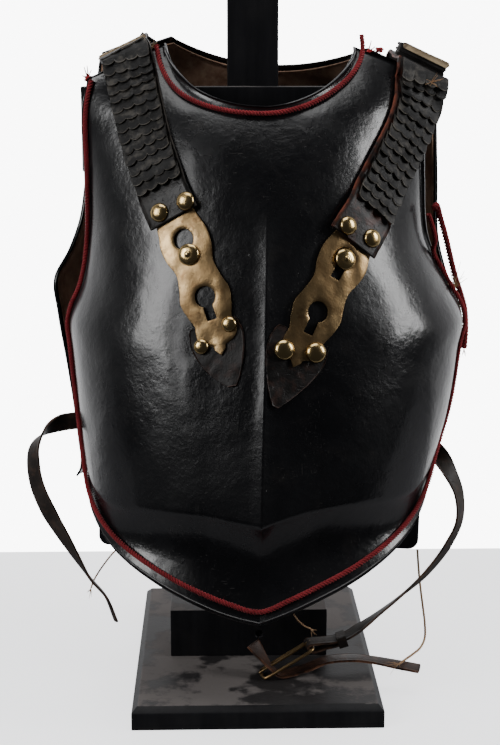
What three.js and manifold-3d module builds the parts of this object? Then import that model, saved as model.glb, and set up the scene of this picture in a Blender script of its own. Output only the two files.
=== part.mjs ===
// A horseman's cuirass on its plain display stand, built as separate solids.
// Millimetres, +Z up. The origin is the middle of the underside of the base board.
// The wearer's front looks along -Y, so +X is on the right hand of someone facing the cuirass.

import * as THREE from 'three';
import { mergeVertices } from 'three/addons/utils/BufferGeometryUtils.js';
import Module from 'manifold-3d';

const wasm = await Module();
wasm.setup();

const GAP = 0.3; // clearance kept between two pieces that touch

// ---------------------------------------------------------------- driving dimensions

const STAND = {
  baseWidth: 212, baseDepth: 292, baseHeight: 20, chamferHeight: 5, chamferWidth: 5.3,
  postSide: 44, postCentre: -0.7, postFront: 8, postTop: 632, postEase: 2,
  blockWidth: 141, blockCentre: -5.4, blockTop: 63.8, blockFront: -37,
  screwRadius: 3.4, screwDepth: 4, screwCentre: 4, screwHeight: 41,
  boardThickness: 20, boardHeight: 72, shoulderWidth: 296, shoulderTop: 526.6,
  waistLeft: -141, waistRight: 150, waistBottom: 114.7, waistTilt: -1.3, waistCorner: 9,
};

const WALL = 2; // thickness of the two plates

// Sections of the breastplate. left, ridge and right are X; edge is the Y of both side edges;
// reach is how far the middle stands forward of them; round is 0.5 for a half circle and
// 1 for a flatter, more pointed section; keel is the height of the medial ridge.
const CHEST = [
  { height:  90, left: -145, ridge: 0.5, right: 150, edge: -26, reach: 128, round: 0.50, keel: 1 },
  { height: 140, left: -145, ridge: 1.0, right: 150, edge: -26, reach: 130, round: 0.50, keel: 4 },
  { height: 182, left: -147.5, ridge: 1.8, right: 153, edge: -24, reach: 131, round: 0.50, keel: 8 },
  { height: 250, left: -155, ridge: 3.4, right: 172, edge: -13, reach: 134, round: 0.50, keel: 7 },
  { height: 300, left: -160, ridge: 5.2, right: 180, edge:  -7, reach: 130, round: 0.52, keel: 6 },
  { height: 328, left: -161.5, ridge: 5.8, right: 184, edge:  -6, reach: 124, round: 0.54, keel: 5 },
  { height: 362, left: -148.5, ridge: 6.4, right: 166, edge: -14, reach: 110, round: 0.58, keel: 4 },
  { height: 400, left: -142.5, ridge: 7.1, right: 147, edge: -21, reach:  94, round: 0.65, keel: 3 },
  { height: 450, left: -141.5, ridge: 8.0, right: 142, edge: -26, reach:  74, round: 0.75, keel: 0 },
  { height: 505, left: -143, ridge: 8.2, right: 141, edge: -21, reach:  50, round: 0.90, keel: 0 },
  { height: 537, left: -138, ridge: 8.6, right: 143, edge: -13, reach:  28, round: 1.00, keel: 0 },
  { height: 570, left: -145, ridge: 9.0, right: 146, edge:  -4, reach:   8, round: 1.00, keel: 0 },
];
const KEEL_FLANK = 46; // half the width of the medial ridge
const GIRTH = 150; // rough radius of the chest, which turns an angle into a distance
const CHEST_GRID = {
  waistRows: [0, 0.14, 0.32, 0.52, 0.74, 1], chestRows: 9, neckColumns: 6, sideColumns: 7, sideEase: 1.35,
  turnedRow: 0.45,
};
const NECK = {
  across: 0.55, cornerLeft: 563, cornerRight: 560, bottom: 511, powerLeft: 2, powerRight: 1.72,
  flare: 5, band: 11,
};
const SHOULDER = { left: 535, right: 536 };
const ARMHOLE = { bottom: 342, flare: 3.5, band: 9 };

// Lower edge of the breastplate, from the middle (across 0) to the side edges (across 1).
const RIM = [
  { across: 0.00, left:  98, right:  98 },
  { across: 0.15, left: 103, right: 106 },
  { across: 0.30, left: 110, right: 115 },
  { across: 0.60, left: 128, right: 134 },
  { across: 0.85, left: 148, right: 156 },
  { across: 0.96, left: 167, right: 176 },
  { across: 1.00, left: 187, right: 200 },
];
const WAIST = { middle: 84, side: 22, dip: 0.085, sideDip: 0.03, flare: 0.04 };

// Sections of the backplate in its own frame, which is hung a little askew. halfWidth is X;
// edge is the Y of both side edges; reach is how far the middle of the back stands behind them.
const BACK = [
  { height: 160, halfWidth: 160, edge: 12, reach:  84, round: 0.50 },
  { height: 176, halfWidth: 152, edge: 11, reach:  78, round: 0.50 },
  { height: 200, halfWidth: 154, edge: 10, reach:  78, round: 0.50 },
  { height: 260, halfWidth: 164, edge:  6, reach:  90, round: 0.50 },
  { height: 320, halfWidth: 176, edge:  3, reach: 104, round: 0.50 },
  { height: 350, halfWidth: 180, edge:  4, reach: 109, round: 0.50 },
  { height: 375, halfWidth: 169, edge: 16, reach: 103, round: 0.52 },
  { height: 405, halfWidth: 161, edge: 27, reach:  95, round: 0.55 },
  { height: 455, halfWidth: 157, edge: 34, reach:  85, round: 0.60 },
  { height: 520, halfWidth: 151, edge: 34, reach:  62, round: 0.75 },
  { height: 570, halfWidth: 146, edge: 26, reach:  34, round: 0.95 },
];
const BACK_HANG = { shift: 3, pivot: 350, roll: 3.3 };
const NAPE = { across: 0.6, corner: 565, bottom: 545, shoulder: 541, flare: 4, band: 9 };
const TAIL = { middle: 158, side: 168 };
const BACK_COLUMNS = 8; // on each side of the spine
const BACK_ROWS = [168, 178, 194, 222, 260, 300, 335, 350, 363, 380, 410, 450, 500, 530, 541];
const LINING = { thickness: 1.5, gap: 1.4, inset: 0.035, band: 7 };

const CORD = {
  diameter: 4.6, sides: 6, neckInset: 6, rimInset: 9, sideInset: 3, holeInset: 10, clear: 2, freeEnd: 12,
  neckPowerLeft: 2.4, neckPowerRight: 1.8, neckSteps: 27, edgeSteps: 62, looseSteps: 16,
};

const STRAP = { thickness: 2.4, lift: 4.7, liftFrom: -36, liftTo: -62, steps: 38, overrun: 0.5 };

// Sideways places of each strap's two edges. Towards the shoulder they drift outwards.
const STRAP_EDGES = {
  left: { end: -19, from: -21.1, to: 21.9, fromDrift: 0, toDrift: 0, driftStart: 85, driftEnd: 150 },
  right: { end: -14, from: -25, to: 20.9, fromDrift: 4.5, toDrift: 6, driftStart: 75, driftEnd: 150 },
};
const SCALE = {
  thickness: 1.1, pitch: 9.4, length: 14, lobes: 4, lobeDepth: 2.3, lobePoints: 2,
  start: -47, sink: 0.4, clear: 0.5, backStart: 22, backTilt: 0.62,
};
const SCALE_ROWS = { left: 13, right: 12, back: 5 };
const SCALE_MARGINS = { left: [0.4, 1.4], right: [4.2, 0.6] }; // bare strap beside the scales
const CREST = {
  clear: 0.4, left: { depth: 8, front: 6, rear: 6, from: -22.5, to: 22.5, steps: 2, height: 2.4 },
  right: { depth: 2, front: 8, rear: 10, from: -24, to: 21, steps: 3, height: 10.5, skin: 1.6 },
};
const PLATE = { thickness: 1.2, lift: 2.7, hole: 8.6, slotWidth: 8.2, slotEnd: 19.5, secondHole: 50 };

// Outline of a brass plate: half width along it, measured from the middle of its first keyhole.
const PLATE_OUTLINE = [
  { along: -24, half: 16.5 },
  { along: -12, half: 18.8 },
  { along:   0, half: 21.4 },
  { along:  12, half: 20.4 },
  { along:  25, half: 16.6 },
  { along:  38, half: 18.4 },
  { along:  50, half: 21.2 },
  { along:  62, half: 18.8 },
  { along:  71, half: 15.8 },
  { along:  77, half: 16.4 },
  { along:  84, half: 16.0 },
  { along:  88, half: 12.0 },
  { along:  91, half:  5.4 },
  { along:  94, half:  4.6 },
  { along:  99, half:  0.0 },
];
const TAB = { start: 72, widest: 88, thickness: 1.6, clear: 0.1, neck: 3, swell: 1, swellAt: 6, taper: 20 };
const TABS = {
  left: { half: 22, shift: -1.5, tip: 125, tipAside: 3.3, tipHalf: 3.5 },
  right: { half: 24.7, shift: -1.8, tip: 134, tipAside: -1, tipHalf: 2.5 },
};

// Rivet pairs: outer ones lie towards the arm. slant moves the outer one down and the inner one up.
const RIVETS = {
  left: {
    upper: { radius: 7.6, along: -27, aside: 12, shift: 3.6, slant: -1.2 },
    lower: { radius: 6.1, along: 82.6, aside: 13.4, shift: -1.2, slant: 5.7 },
    back: { radius: 5.5, aside: 11.8, shift: 0, slant: 0 },
  },
  right: {
    upper: { radius: 7.6, along: -24, aside: 11.8, shift: -1.7, slant: -2.4 },
    lower: { radius: 8.2, along: 85, aside: 12.4, shift: 0, slant: -4.4 },
    back: { radius: 5.5, aside: 11.8, shift: 0, slant: 0 },
  },
};
const RIVET = { rise: 0.52, clear: 0.4, backInset: 8 };
const STUD = { head: 8.8, shank: 3.4, height: 4.8, along: { left: 13.6, right: 1.5 } };
const DOME = { sides: 10, rings: 3 };

const BELT = { width: 15, thickness: 2.6, remnantWidth: 14, remnantThickness: 2.8, perStation: 2 };
const BUCKLE = { bar: 3.6, sides: 6, depth: 20 };
const KEEPER = { length: 8, wall: 1.4, sideways: 0.7, room: 1 };
const TWINE = { diameter: 1.6, thin: 1.2 };

// ---------------------------------------------------------------- small helpers

const lerp = THREE.MathUtils.lerp;
const smoothstep = THREE.MathUtils.smoothstep;
const rad = THREE.MathUtils.degToRad;

function v(x, y, z) {
  return new THREE.Vector3(x, y, z);
}

// Smooth value of one column of a table, by cubic curves through its rows.
function read(table, by, at, column) {
  const last = table.length - 1;
  if (at <= table[0][by]) return table[0][column];
  if (at >= table[last][by]) return table[last][column];
  let i = 0;
  while (table[i + 1][by] < at) i += 1;
  const slope = (k) => {
    const a = table[Math.max(k - 1, 0)];
    const b = table[Math.min(k + 1, last)];
    return (b[column] - a[column]) / (b[by] - a[by]);
  };
  const step = table[i + 1][by] - table[i][by];
  const s = (at - table[i][by]) / step;
  const rise = table[i + 1][column] - table[i][column];
  const from = slope(i) * step;
  const to = slope(i + 1) * step;
  return table[i][column] + s * (from + s * (3 * rise - 2 * from - to + s * (from + to - 2 * rise)));
}

function geometryFrom(points, triangles) {
  const geometry = new THREE.BufferGeometry();
  const flat = points.flatMap((p) => [p.x, p.y, p.z]);
  geometry.setAttribute('position', new THREE.Float32BufferAttribute(flat, 3));
  geometry.setIndex(triangles.flat());
  if (volumeOf(points, triangles) < 0) geometry.setIndex(triangles.map(([a, b, c]) => [a, c, b]).flat());
  geometry.computeVertexNormals();
  return geometry;
}

function volumeOf(points, triangles) {
  return triangles.reduce((sum, [a, b, c]) => {
    const cross = new THREE.Vector3().crossVectors(points[b], points[c]);
    return sum + points[a].dot(cross) / 6;
  }, 0);
}

// Closed wall between two grids of points, outer[row][column] and inner[row][column].
function wallBetween(outer, inner) {
  const rows = outer.length;
  const columns = outer[0].length;
  const points = [...outer.flat(), ...inner.flat()];
  const at = (side, r, c) => side * rows * columns + r * columns + c;
  const triangles = [];
  const quad = (a, b, c, d) => triangles.push([a, b, c], [a, c, d]);
  for (let r = 0; r < rows - 1; r += 1) {
    for (let c = 0; c < columns - 1; c += 1) {
      quad(at(0, r, c), at(0, r, c + 1), at(0, r + 1, c + 1), at(0, r + 1, c));
      quad(at(1, r, c), at(1, r + 1, c), at(1, r + 1, c + 1), at(1, r, c + 1));
    }
  }
  for (let c = 0; c < columns - 1; c += 1) {
    quad(at(0, 0, c), at(1, 0, c), at(1, 0, c + 1), at(0, 0, c + 1));
    quad(at(0, rows - 1, c), at(0, rows - 1, c + 1), at(1, rows - 1, c + 1), at(1, rows - 1, c));
  }
  for (let r = 0; r < rows - 1; r += 1) {
    quad(at(0, r, 0), at(0, r + 1, 0), at(1, r + 1, 0), at(1, r, 0));
    quad(at(0, r, columns - 1), at(1, r, columns - 1), at(1, r + 1, columns - 1), at(0, r + 1, columns - 1));
  }
  return geometryFrom(points, triangles);
}

// Unit normals of a grid of points, turned to the side that `outward` points to.
function gridNormals(grid, outward) {
  const clampRow = (r) => grid[Math.min(Math.max(r, 0), grid.length - 1)];
  return grid.map((row, r) => row.map((point, c) => {
    const along = clampRow(r + 1)[c].clone().sub(clampRow(r - 1)[c]);
    const across = row[Math.min(c + 1, row.length - 1)].clone().sub(row[Math.max(c - 1, 0)]);
    const normal = across.cross(along).normalize();
    return normal.dot(outward(point)) < 0 ? normal.negate() : normal;
  }));
}

// Unit normal of the surface at(a, b), on the side that `outward` points to.
function normalAt(at, a, b, stepA, outward) {
  const alongA = at(a + stepA, b).sub(at(a - stepA, b));
  const alongB = at(a, b + 1).sub(at(a, b - 1));
  const normal = alongA.cross(alongB).normalize();
  return normal.dot(outward) < 0 ? normal.negate() : normal;
}

const outOfFront = (p) => v(p.x * 0.6, -40, 0);
const outOfRear = (p) => v(p.x * 0.6, 40, 0);

function shiftGrid(grid, normals, distance) {
  return grid.map((row, r) => row.map((p, c) => p.clone().addScaledVector(normals[r][c], distance)));
}

// ---------------------------------------------------------------- breastplate surface

function chestSection(height) {
  const value = (column) => read(CHEST, 'height', height, column);
  return {
    left: value('left'), ridge: value('ridge'), right: value('right'), edge: value('edge'),
    reach: value('reach'), round: value('round'), keel: value('keel'),
  };
}

function chestTop(across) {
  const side = Math.abs(across);
  const corner = across < 0 ? NECK.cornerLeft : NECK.cornerRight;
  const shoulder = across < 0 ? SHOULDER.left : SHOULDER.right;
  if (side >= NECK.across) return lerp(corner, shoulder, (side - NECK.across) / (1 - NECK.across));
  const power = across < 0 ? NECK.powerLeft : NECK.powerRight;
  const s = side / NECK.across;
  return corner - (corner - NECK.bottom) * (1 - s ** power) ** (1 / power);
}

// Point of the outer surface: across from -1 to 1; squeeze is the waist's narrowing.
function chestPoint(across, height, squeeze = 0) {
  const part = chestSection(height);
  const half = across < 0 ? part.ridge - part.left : part.right - part.ridge;
  const x = part.ridge + across * half * (1 - 0.35 * squeeze);
  const bulge = Math.max(1 - across * across, 0) ** part.round;
  const flank = Math.max(1 - Math.abs(x - part.ridge) / KEEL_FLANK, 0);
  const y = part.edge - (part.reach * bulge + part.keel * flank ** 1.4) * (1 - squeeze);
  return v(x, y, height);
}

// Front surface above the waist, by X and height.
function chestAt(x, height) {
  const part = chestSection(height);
  const half = x < part.ridge ? part.ridge - part.left : part.right - part.ridge;
  return chestPoint((x - part.ridge) / half, height);
}

// Height of the lower edge, and of the top of the pinched waist above it.
function waistBand(across) {
  const rim = read(RIM, 'across', Math.abs(across), across < 0 ? 'left' : 'right');
  const belly = rim + lerp(WAIST.side, WAIST.middle, (1 - across * across) ** 1.2);
  return { rim, belly };
}

// Point of the finished breastplate, with its pinched waist and turned edges.
function shapedChest(across, height) {
  const { rim, belly } = waistBand(across);
  const s = Math.min((height - rim) / (belly - rim), 1);
  const dip = lerp(WAIST.sideDip, WAIST.dip + WAIST.sideDip, 1 - across * across);
  const squeeze = 4 * s * (1 - s) * dip - WAIST.flare * (1 - s) ** 2;
  return flared(chestPoint(across, height, squeeze), across, chestTop(across) - height);
}

// The neck and armhole edges are turned outwards.
function flared(point, across, belowTop) {
  const angle = Math.asin(across);
  const out = v(Math.sin(angle), -Math.cos(angle), 0);
  const fromSide = (Math.PI / 2 - Math.abs(angle)) * GIRTH;
  const neck = Math.abs(across) < NECK.across ? Math.max(1 - belowTop / NECK.band, 0) ** 2 * NECK.flare : 0;
  const inArmhole = smoothstep(point.z, ARMHOLE.bottom - 25, ARMHOLE.bottom + 25);
  const side = Math.max(1 - fromSide / ARMHOLE.band, 0) ** 2 * ARMHOLE.flare * inArmhole;
  return point.addScaledVector(out, neck + side);
}

// Columns are even across the neck opening and closer together towards the sides.
function chestColumns() {
  const { neckColumns, sideColumns, sideEase } = CHEST_GRID;
  const neck = Math.asin(NECK.across);
  const columns = [];
  for (let i = -neckColumns - sideColumns; i <= neckColumns + sideColumns; i += 1) {
    const beyond = Math.abs(i) - neckColumns;
    const inNeck = neck * (Math.abs(i) / neckColumns);
    const atSide = lerp(neck, Math.PI / 2, 1 - (1 - beyond / sideColumns) ** sideEase);
    columns.push(Math.sign(i) * Math.sin(beyond <= 0 ? inNeck : atSide));
  }
  return columns;
}

function chestGrid() {
  const { waistRows, chestRows, turnedRow } = CHEST_GRID;
  const columns = chestColumns();
  const row = (heightOf) => columns.map((across) => {
    const { rim, belly } = waistBand(across);
    return shapedChest(across, heightOf(rim, belly, chestTop(across)));
  });
  const rows = waistRows.map((s) => row((rim, belly) => lerp(rim, belly, s)));
  for (let k = 1; k <= chestRows; k += 1) {
    rows.push(row((rim, belly, top) => lerp(belly, top - NECK.band, k / chestRows)));
  }
  rows.push(row((rim, belly, top) => top - NECK.band * turnedRow));
  rows.push(row((rim, belly, top) => top));
  return rows;
}

// ---------------------------------------------------------------- backplate surface

function backSection(height) {
  const value = (column) => read(BACK, 'height', height, column);
  return { half: value('halfWidth'), edge: value('edge'), reach: value('reach'), round: value('round') };
}

function backPoint(across, height) {
  const part = backSection(height);
  const bulge = Math.max(1 - across * across, 0) ** part.round;
  return v(across * part.half, part.edge + part.reach * bulge, height);
}

function backAt(x, height) {
  return backPoint(x / backSection(height).half, height);
}

function backTop(across) {
  const side = Math.abs(across);
  if (side >= NAPE.across) {
    return lerp(NAPE.corner, NAPE.shoulder, (side - NAPE.across) / (1 - NAPE.across));
  }
  return lerp(NAPE.bottom, NAPE.corner, (side / NAPE.across) ** 2);
}

function backTail(across) {
  return lerp(TAIL.middle, TAIL.side, across ** 6);
}

function backGrid(sideInset = 0, endInset = 0) {
  const grid = [];
  BACK_ROWS.forEach((sideHeight) => {
    const up = (sideHeight - TAIL.side) / (NAPE.shoulder - TAIL.side);
    const row = [];
    for (let c = -BACK_COLUMNS; c <= BACK_COLUMNS; c += 1) {
      const angle = (Math.PI / 2) * (1 - sideInset) * (c / BACK_COLUMNS);
      const across = Math.sin(angle);
      const top = backTop(across) - endInset;
      const height = lerp(backTail(across) + endInset, top, up);
      const point = backPoint(across, height);
      const nearTop = Math.max(1 - (backTop(across) - height) / NAPE.band, 0);
      const flare = Math.abs(across) < NAPE.across ? nearTop ** 2 * NAPE.flare : 0;
      row.push(point.addScaledVector(v(Math.sin(angle), Math.cos(angle), 0), flare));
    }
    grid.push(row);
  });
  return grid;
}

function hangBack(point) {
  const roll = rad(BACK_HANG.roll);
  const up = point.z - BACK_HANG.pivot;
  const x = point.x * Math.cos(roll) + up * Math.sin(roll) + BACK_HANG.shift;
  return v(x, point.y, BACK_HANG.pivot - point.x * Math.sin(roll) + up * Math.cos(roll));
}

// ---------------------------------------------------------------- lofts, tubes and tracks

// Closed body through equal-sized rings of points, closed at both ends.
function loft(rings) {
  const count = rings[0].length;
  const points = rings.flat();
  const triangles = [];
  for (let r = 0; r < rings.length - 1; r += 1) {
    for (let k = 0; k < count; k += 1) {
      const a = r * count + k;
      const b = r * count + (k + 1) % count;
      triangles.push([a, b, b + count], [a, b + count, a + count]);
    }
  }
  const end = (rings.length - 1) * count;
  for (let k = 1; k < count - 1; k += 1) {
    triangles.push([0, k + 1, k], [end, end + k, end + k + 1]);
  }
  return geometryFrom(points, triangles);
}

function rectangleRing(width, depth, height, inset = 0) {
  const x = width / 2 - inset;
  const y = depth / 2 - inset;
  return [v(-x, -y, height), v(x, -y, height), v(x, y, height), v(-x, y, height)];
}

// Round cord along a route of points.
function cordAlong(route, diameter, steps, sides = CORD.sides) {
  const shape = new THREE.Shape();
  for (let k = 0; k < sides; k += 1) {
    const angle = (2 * Math.PI * k) / sides;
    const x = (diameter / 2) * Math.cos(angle);
    const y = (diameter / 2) * Math.sin(angle);
    if (k === 0) shape.moveTo(x, y);
    else shape.lineTo(x, y);
  }
  shape.closePath();
  const path = new THREE.CatmullRomCurve3(route, false, 'centripetal');
  return new THREE.ExtrudeGeometry(shape, { steps, extrudePath: path });
}

// A curve with an outward direction at each of its stations, measured by distance along it.
class Track {
  constructor(stations, origin) {
    this.stations = stations;
    this.curve = new THREE.CatmullRomCurve3(stations.map((s) => s.at), false, 'centripetal');
    this.curve.arcLengthDivisions = 600;
    this.total = this.curve.getLength();
    const lengths = this.curve.getLengths();
    const at = (origin / (stations.length - 1)) * this.curve.arcLengthDivisions;
    this.zero = lengths[Math.round(at)];
    this.end = this.zero - this.total;
  }

  // Frame at a distance from the origin station, counted towards the first station.
  // along, side (towards +X) and out are unit vectors.
  frame(distance) {
    const u = THREE.MathUtils.clamp((this.zero - distance) / this.total, 0, 1);
    const t = this.curve.getUtoTmapping(u) * (this.stations.length - 1);
    const i = Math.min(Math.floor(t), this.stations.length - 2);
    const along = this.curve.getTangentAt(u).negate();
    const blend = this.stations[i].out.clone().lerp(this.stations[i + 1].out, t - i);
    const side = new THREE.Vector3().crossVectors(blend, along).normalize();
    const out = new THREE.Vector3().crossVectors(along, side).normalize();
    return { at: this.curve.getPointAt(u), along, side, out };
  }

  // Place a point given by distance along, sideways and height above the track.
  place(distance, sideways, height) {
    const f = this.frame(distance);
    return f.at.clone().addScaledVector(f.side, sideways).addScaledVector(f.out, height);
  }
}

// Flat strip along a track from one distance to another. edgesAt gives its two edges, sideways.
function stripOn(track, from, to, steps, edgesAt, heightAt, thickness) {
  const rings = [];
  for (let k = 0; k <= steps; k += 1) {
    const d = lerp(from, to, k / steps);
    const h = heightAt(d);
    const [left, right] = edgesAt(d);
    rings.push([
      track.place(d, left, h), track.place(d, right, h),
      track.place(d, right, h + thickness), track.place(d, left, h + thickness),
    ]);
  }
  return loft(rings);
}

// Leather strip along free stations, each with a point and the direction of its width.
function strip(stations, width, thickness) {
  const { perStation } = BELT;
  const path = new THREE.CatmullRomCurve3(stations.map((s) => s.at), false, 'centripetal');
  const spans = stations.length - 1;
  const rings = [];
  for (let k = 0; k <= spans * perStation; k += 1) {
    const t = k / perStation;
    const i = Math.min(Math.floor(t), spans - 1);
    const at = path.getPoint(t / spans);
    const along = path.getTangent(t / spans);
    const side = stations[i].side.clone().lerp(stations[i + 1].side, t - i);
    side.addScaledVector(along, -side.dot(along)).normalize();
    const out = new THREE.Vector3().crossVectors(along, side);
    const corner = (s, o) => at.clone().addScaledVector(side, (s * width) / 2)
      .addScaledVector(out, (o * thickness) / 2);
    rings.push([corner(-1, -1), corner(1, -1), corner(1, 1), corner(-1, 1)]);
  }
  return loft(rings);
}

// ---------------------------------------------------------------- joins and cuts

// The geometry with positions alone, and each corner stored once.
function welded(geometry, tolerance) {
  const bare = geometry.clone();
  bare.deleteAttribute('normal');
  bare.deleteAttribute('uv');
  return mergeVertices(bare, tolerance);
}

function toSolid(geometry) {
  const merged = welded(geometry, 1e-4);
  return new wasm.Manifold(new wasm.Mesh({
    numProp: 3,
    vertProperties: new Float32Array(merged.attributes.position.array),
    triVerts: new Uint32Array(merged.index.array),
  }));
}

function fromSolid(solid) {
  const mesh = solid.getMesh();
  const geometry = new THREE.BufferGeometry();
  geometry.setAttribute('position', new THREE.Float32BufferAttribute(mesh.vertProperties, 3));
  geometry.setIndex(Array.from(mesh.triVerts));
  geometry.computeVertexNormals();
  return geometry;
}

// One body from overlapping ones.
const joined = (geometries) => fromSolid(geometries.map(toSolid).reduce((a, b) => a.add(b)));

// ---------------------------------------------------------------- finishes

const finish = (color, roughness, metalness) => (
  new THREE.MeshStandardMaterial({ color, roughness, metalness }));
const steel = finish(0x17181a, 0.35, 0.6);
const wood = finish(0x1b1a1a, 0.6, 0);
const brass = finish(0xa88a4a, 0.35, 1);
const blackLeather = finish(0x2a2826, 0.6, 0);
const brownLeather = finish(0x3b2a20, 0.6, 0);
const liningLeather = finish(0x6b5140, 0.8, 0);
const tanLeather = finish(0x9a8463, 0.8, 0);
const redWool = finish(0x8e1f28, 0.9, 0);
const twine = finish(0xb08a5c, 0.9, 0);

// ---------------------------------------------------------------- pieces

const group = new THREE.Group();

function add(name, geometry, material) {
  const mesh = new THREE.Mesh(geometry, material);
  mesh.name = name;
  group.add(mesh);
  return mesh;
}

function makeStand() {
  const s = STAND;
  const base = loft([
    rectangleRing(s.baseWidth, s.baseDepth, 0),
    rectangleRing(s.baseWidth, s.baseDepth, s.baseHeight - s.chamferHeight),
    rectangleRing(s.baseWidth, s.baseDepth, s.baseHeight, s.chamferWidth),
  ]);
  add('base_board', base, wood);

  const post = loft([
    rectangleRing(s.postSide, s.postSide, s.baseHeight + GAP),
    rectangleRing(s.postSide, s.postSide, s.postTop - s.postEase),
    rectangleRing(s.postSide, s.postSide, s.postTop, s.postEase),
  ]);
  add('post', post, wood).position.set(s.postCentre, s.postFront + s.postSide / 2, 0);

  const blockBack = s.postFront - GAP;
  const blockHeight = s.blockTop - s.baseHeight - GAP;
  const block = new THREE.BoxGeometry(s.blockWidth, blockBack - s.blockFront, blockHeight);
  block.translate(s.blockCentre, (blockBack + s.blockFront) / 2, s.blockTop - blockHeight / 2);
  const hole = new THREE.CylinderGeometry(s.screwRadius, s.screwRadius, s.screwDepth * 2, 14);
  hole.translate(s.screwCentre, s.blockFront, s.screwHeight);
  add('front_block', fromSolid(toSolid(block).subtract(toSolid(hole))), wood);

  const boardMiddle = s.postFront - GAP - s.boardThickness / 2;
  const shoulder = new THREE.BoxGeometry(s.shoulderWidth, s.boardThickness, s.boardHeight);
  add('shoulder_board', shoulder, wood).position.set(0, boardMiddle, s.shoulderTop - s.boardHeight / 2);

  const half = (s.waistRight - s.waistLeft) / 2;
  const c = s.waistCorner;
  const outline = new THREE.Shape();
  outline.moveTo(-half + c, 0);
  outline.lineTo(half - c, 0);
  outline.absarc(half - c, c, c, -Math.PI / 2, 0);
  outline.lineTo(half, s.boardHeight);
  outline.lineTo(-half, s.boardHeight);
  outline.lineTo(-half, c);
  outline.absarc(-half + c, c, c, Math.PI, Math.PI * 1.5);
  const waist = new THREE.ExtrudeGeometry(outline, {
    depth: s.boardThickness, bevelEnabled: false, curveSegments: 5,
  });
  waist.rotateX(Math.PI / 2);
  const board = add('waist_board', waist, wood);
  board.position.set((s.waistLeft + s.waistRight) / 2, s.postFront - GAP, s.waistBottom);
  board.rotation.y = rad(-s.waistTilt);
}

function makeShells() {
  const outer = chestGrid();
  const inner = shiftGrid(outer, gridNormals(outer, outOfFront), -WALL);
  add('breastplate', wallBetween(outer, inner), steel);

  const hang = (grid) => grid.map((row) => row.map(hangBack));
  const back = backGrid();
  const backInner = shiftGrid(back, gridNormals(back, outOfRear), -WALL);
  add('backplate', wallBetween(hang(back), hang(backInner)), steel);

  const lining = backGrid(LINING.inset, LINING.band);
  const normals = gridNormals(lining, outOfRear);
  const face = shiftGrid(lining, normals, -WALL - LINING.gap);
  const rear = shiftGrid(lining, normals, -WALL - LINING.gap - LINING.thickness);
  add('backplate_lining', wallBetween(hang(face), hang(rear)), liningLeather);
}

// Point of the breastplate, lifted off its surface.
function onChest(across, height, lift) {
  const at = (a, h) => shapedChest(THREE.MathUtils.clamp(a, -1, 1), h);
  const p = at(across, height);
  return p.addScaledVector(normalAt(at, across, height, 0.004, outOfFront(p)), lift);
}

function makeEdgeCords() {
  const lift = CORD.diameter / 2 + CORD.clear;
  const neck = [];
  for (let k = -10; k <= 10; k += 1) {
    const s = Math.sin((Math.PI / 2) * (k / 10));
    const corner = s < 0 ? NECK.cornerLeft : NECK.cornerRight;
    const power = s < 0 ? CORD.neckPowerLeft : CORD.neckPowerRight;
    const top = corner - 4;
    const drop = (top - NECK.bottom + CORD.neckInset) * (1 - Math.abs(s) ** power) ** (1 / power);
    neck.push(onChest(NECK.across * 1.1 * s, top - drop, lift));
  }
  const end = neck[neck.length - 1];
  neck.push(v(end.x - 1, end.y + 2, end.z + CORD.freeEnd));
  add('neck_cord', cordAlong(neck, CORD.diameter, CORD.neckSteps), redWool);

  const route = [];
  const nearEdge = (z) => {
    const inHole = smoothstep(z, ARMHOLE.bottom - 30, ARMHOLE.bottom + 20);
    return Math.cos(lerp(CORD.sideInset, CORD.holeInset, inHole) / GIRTH);
  };
  for (let z = 531; z > 215; z -= 16) route.push(onChest(-nearEdge(z), z, lift));
  for (let k = -9; k <= 9; k += 1) {
    const across = Math.sin(1.49 * (k / 9));
    route.push(onChest(across, waistBand(across).rim + CORD.rimInset, lift));
  }
  for (let z = 225; z < 395; z += 16) route.push(onChest(nearEdge(z), z, lift));
  route.push(v(155.5, -29, 397), v(151.5, -34, 411), v(148, -37, 420));
  add('edge_cord', cordAlong(route, CORD.diameter, CORD.edgeSteps), redWool);

  const loose = [v(152.5, -38, 425), v(155, -35, 427), v(159, -29, 417), v(166, -20, 398),
    v(172.5, -12, 377), v(178, -6, 360), v(184, -1, 345), v(188, 1, 332), v(189.5, 1, 315),
    v(188.5, 0, 296)];
  add('loose_cord', cordAlong(loose, CORD.diameter, CORD.looseSteps), redWool);
}

// ---------------------------------------------------------------- straps and their brass plates

// Stations on the two plates, by X and height.
const outOfChest = (x, z) => ({ at: chestAt(x, z), out: normalAt(chestAt, x, z, 1, v(0, -1, 0)) });

const outOfBack = (x, z) => {
  const p = backAt(x, z);
  const at = hangBack(p);
  return { at, out: hangBack(p.clone().add(normalAt(backAt, x, z, 1, v(0, 1, 0)))).sub(at) };
};

// Each strap runs from the tip of its tab, up the chest, over the shoulder and down the back.
const LEFT_TRACK = new Track([
  outOfChest(-23.5, 290), outOfChest(-32, 331), outOfChest(-42, 362), outOfChest(-58.5, 405.7),
  outOfChest(-76.5, 446), outOfChest(-88, 476), outOfChest(-97, 508), outOfChest(-103, 531),
  { at: v(-106, -22.8, 544), out: v(-0.25, -0.9, 0.4) },
  { at: v(-107.5, -19.5, 551), out: v(-0.35, -0.6, 0.75) },
  { at: v(-110, -8, 554.5), out: v(-0.42, -0.15, 0.9) },
  { at: v(-111.5, 10, 555.6), out: v(-0.42, -0.05, 0.9) },
  { at: v(-112, 28, 558.8), out: v(-0.42, 0, 0.9) },
  { at: v(-112, 42, 560.3), out: v(-0.4, 0.35, 0.85) },
  { at: v(-112.5, 53, 556.5), out: v(-0.35, 0.8, 0.5) },
  outOfBack(-113, 540), outOfBack(-110, 515), outOfBack(-106, 485), outOfBack(-103, 455),
], 3);

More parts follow.
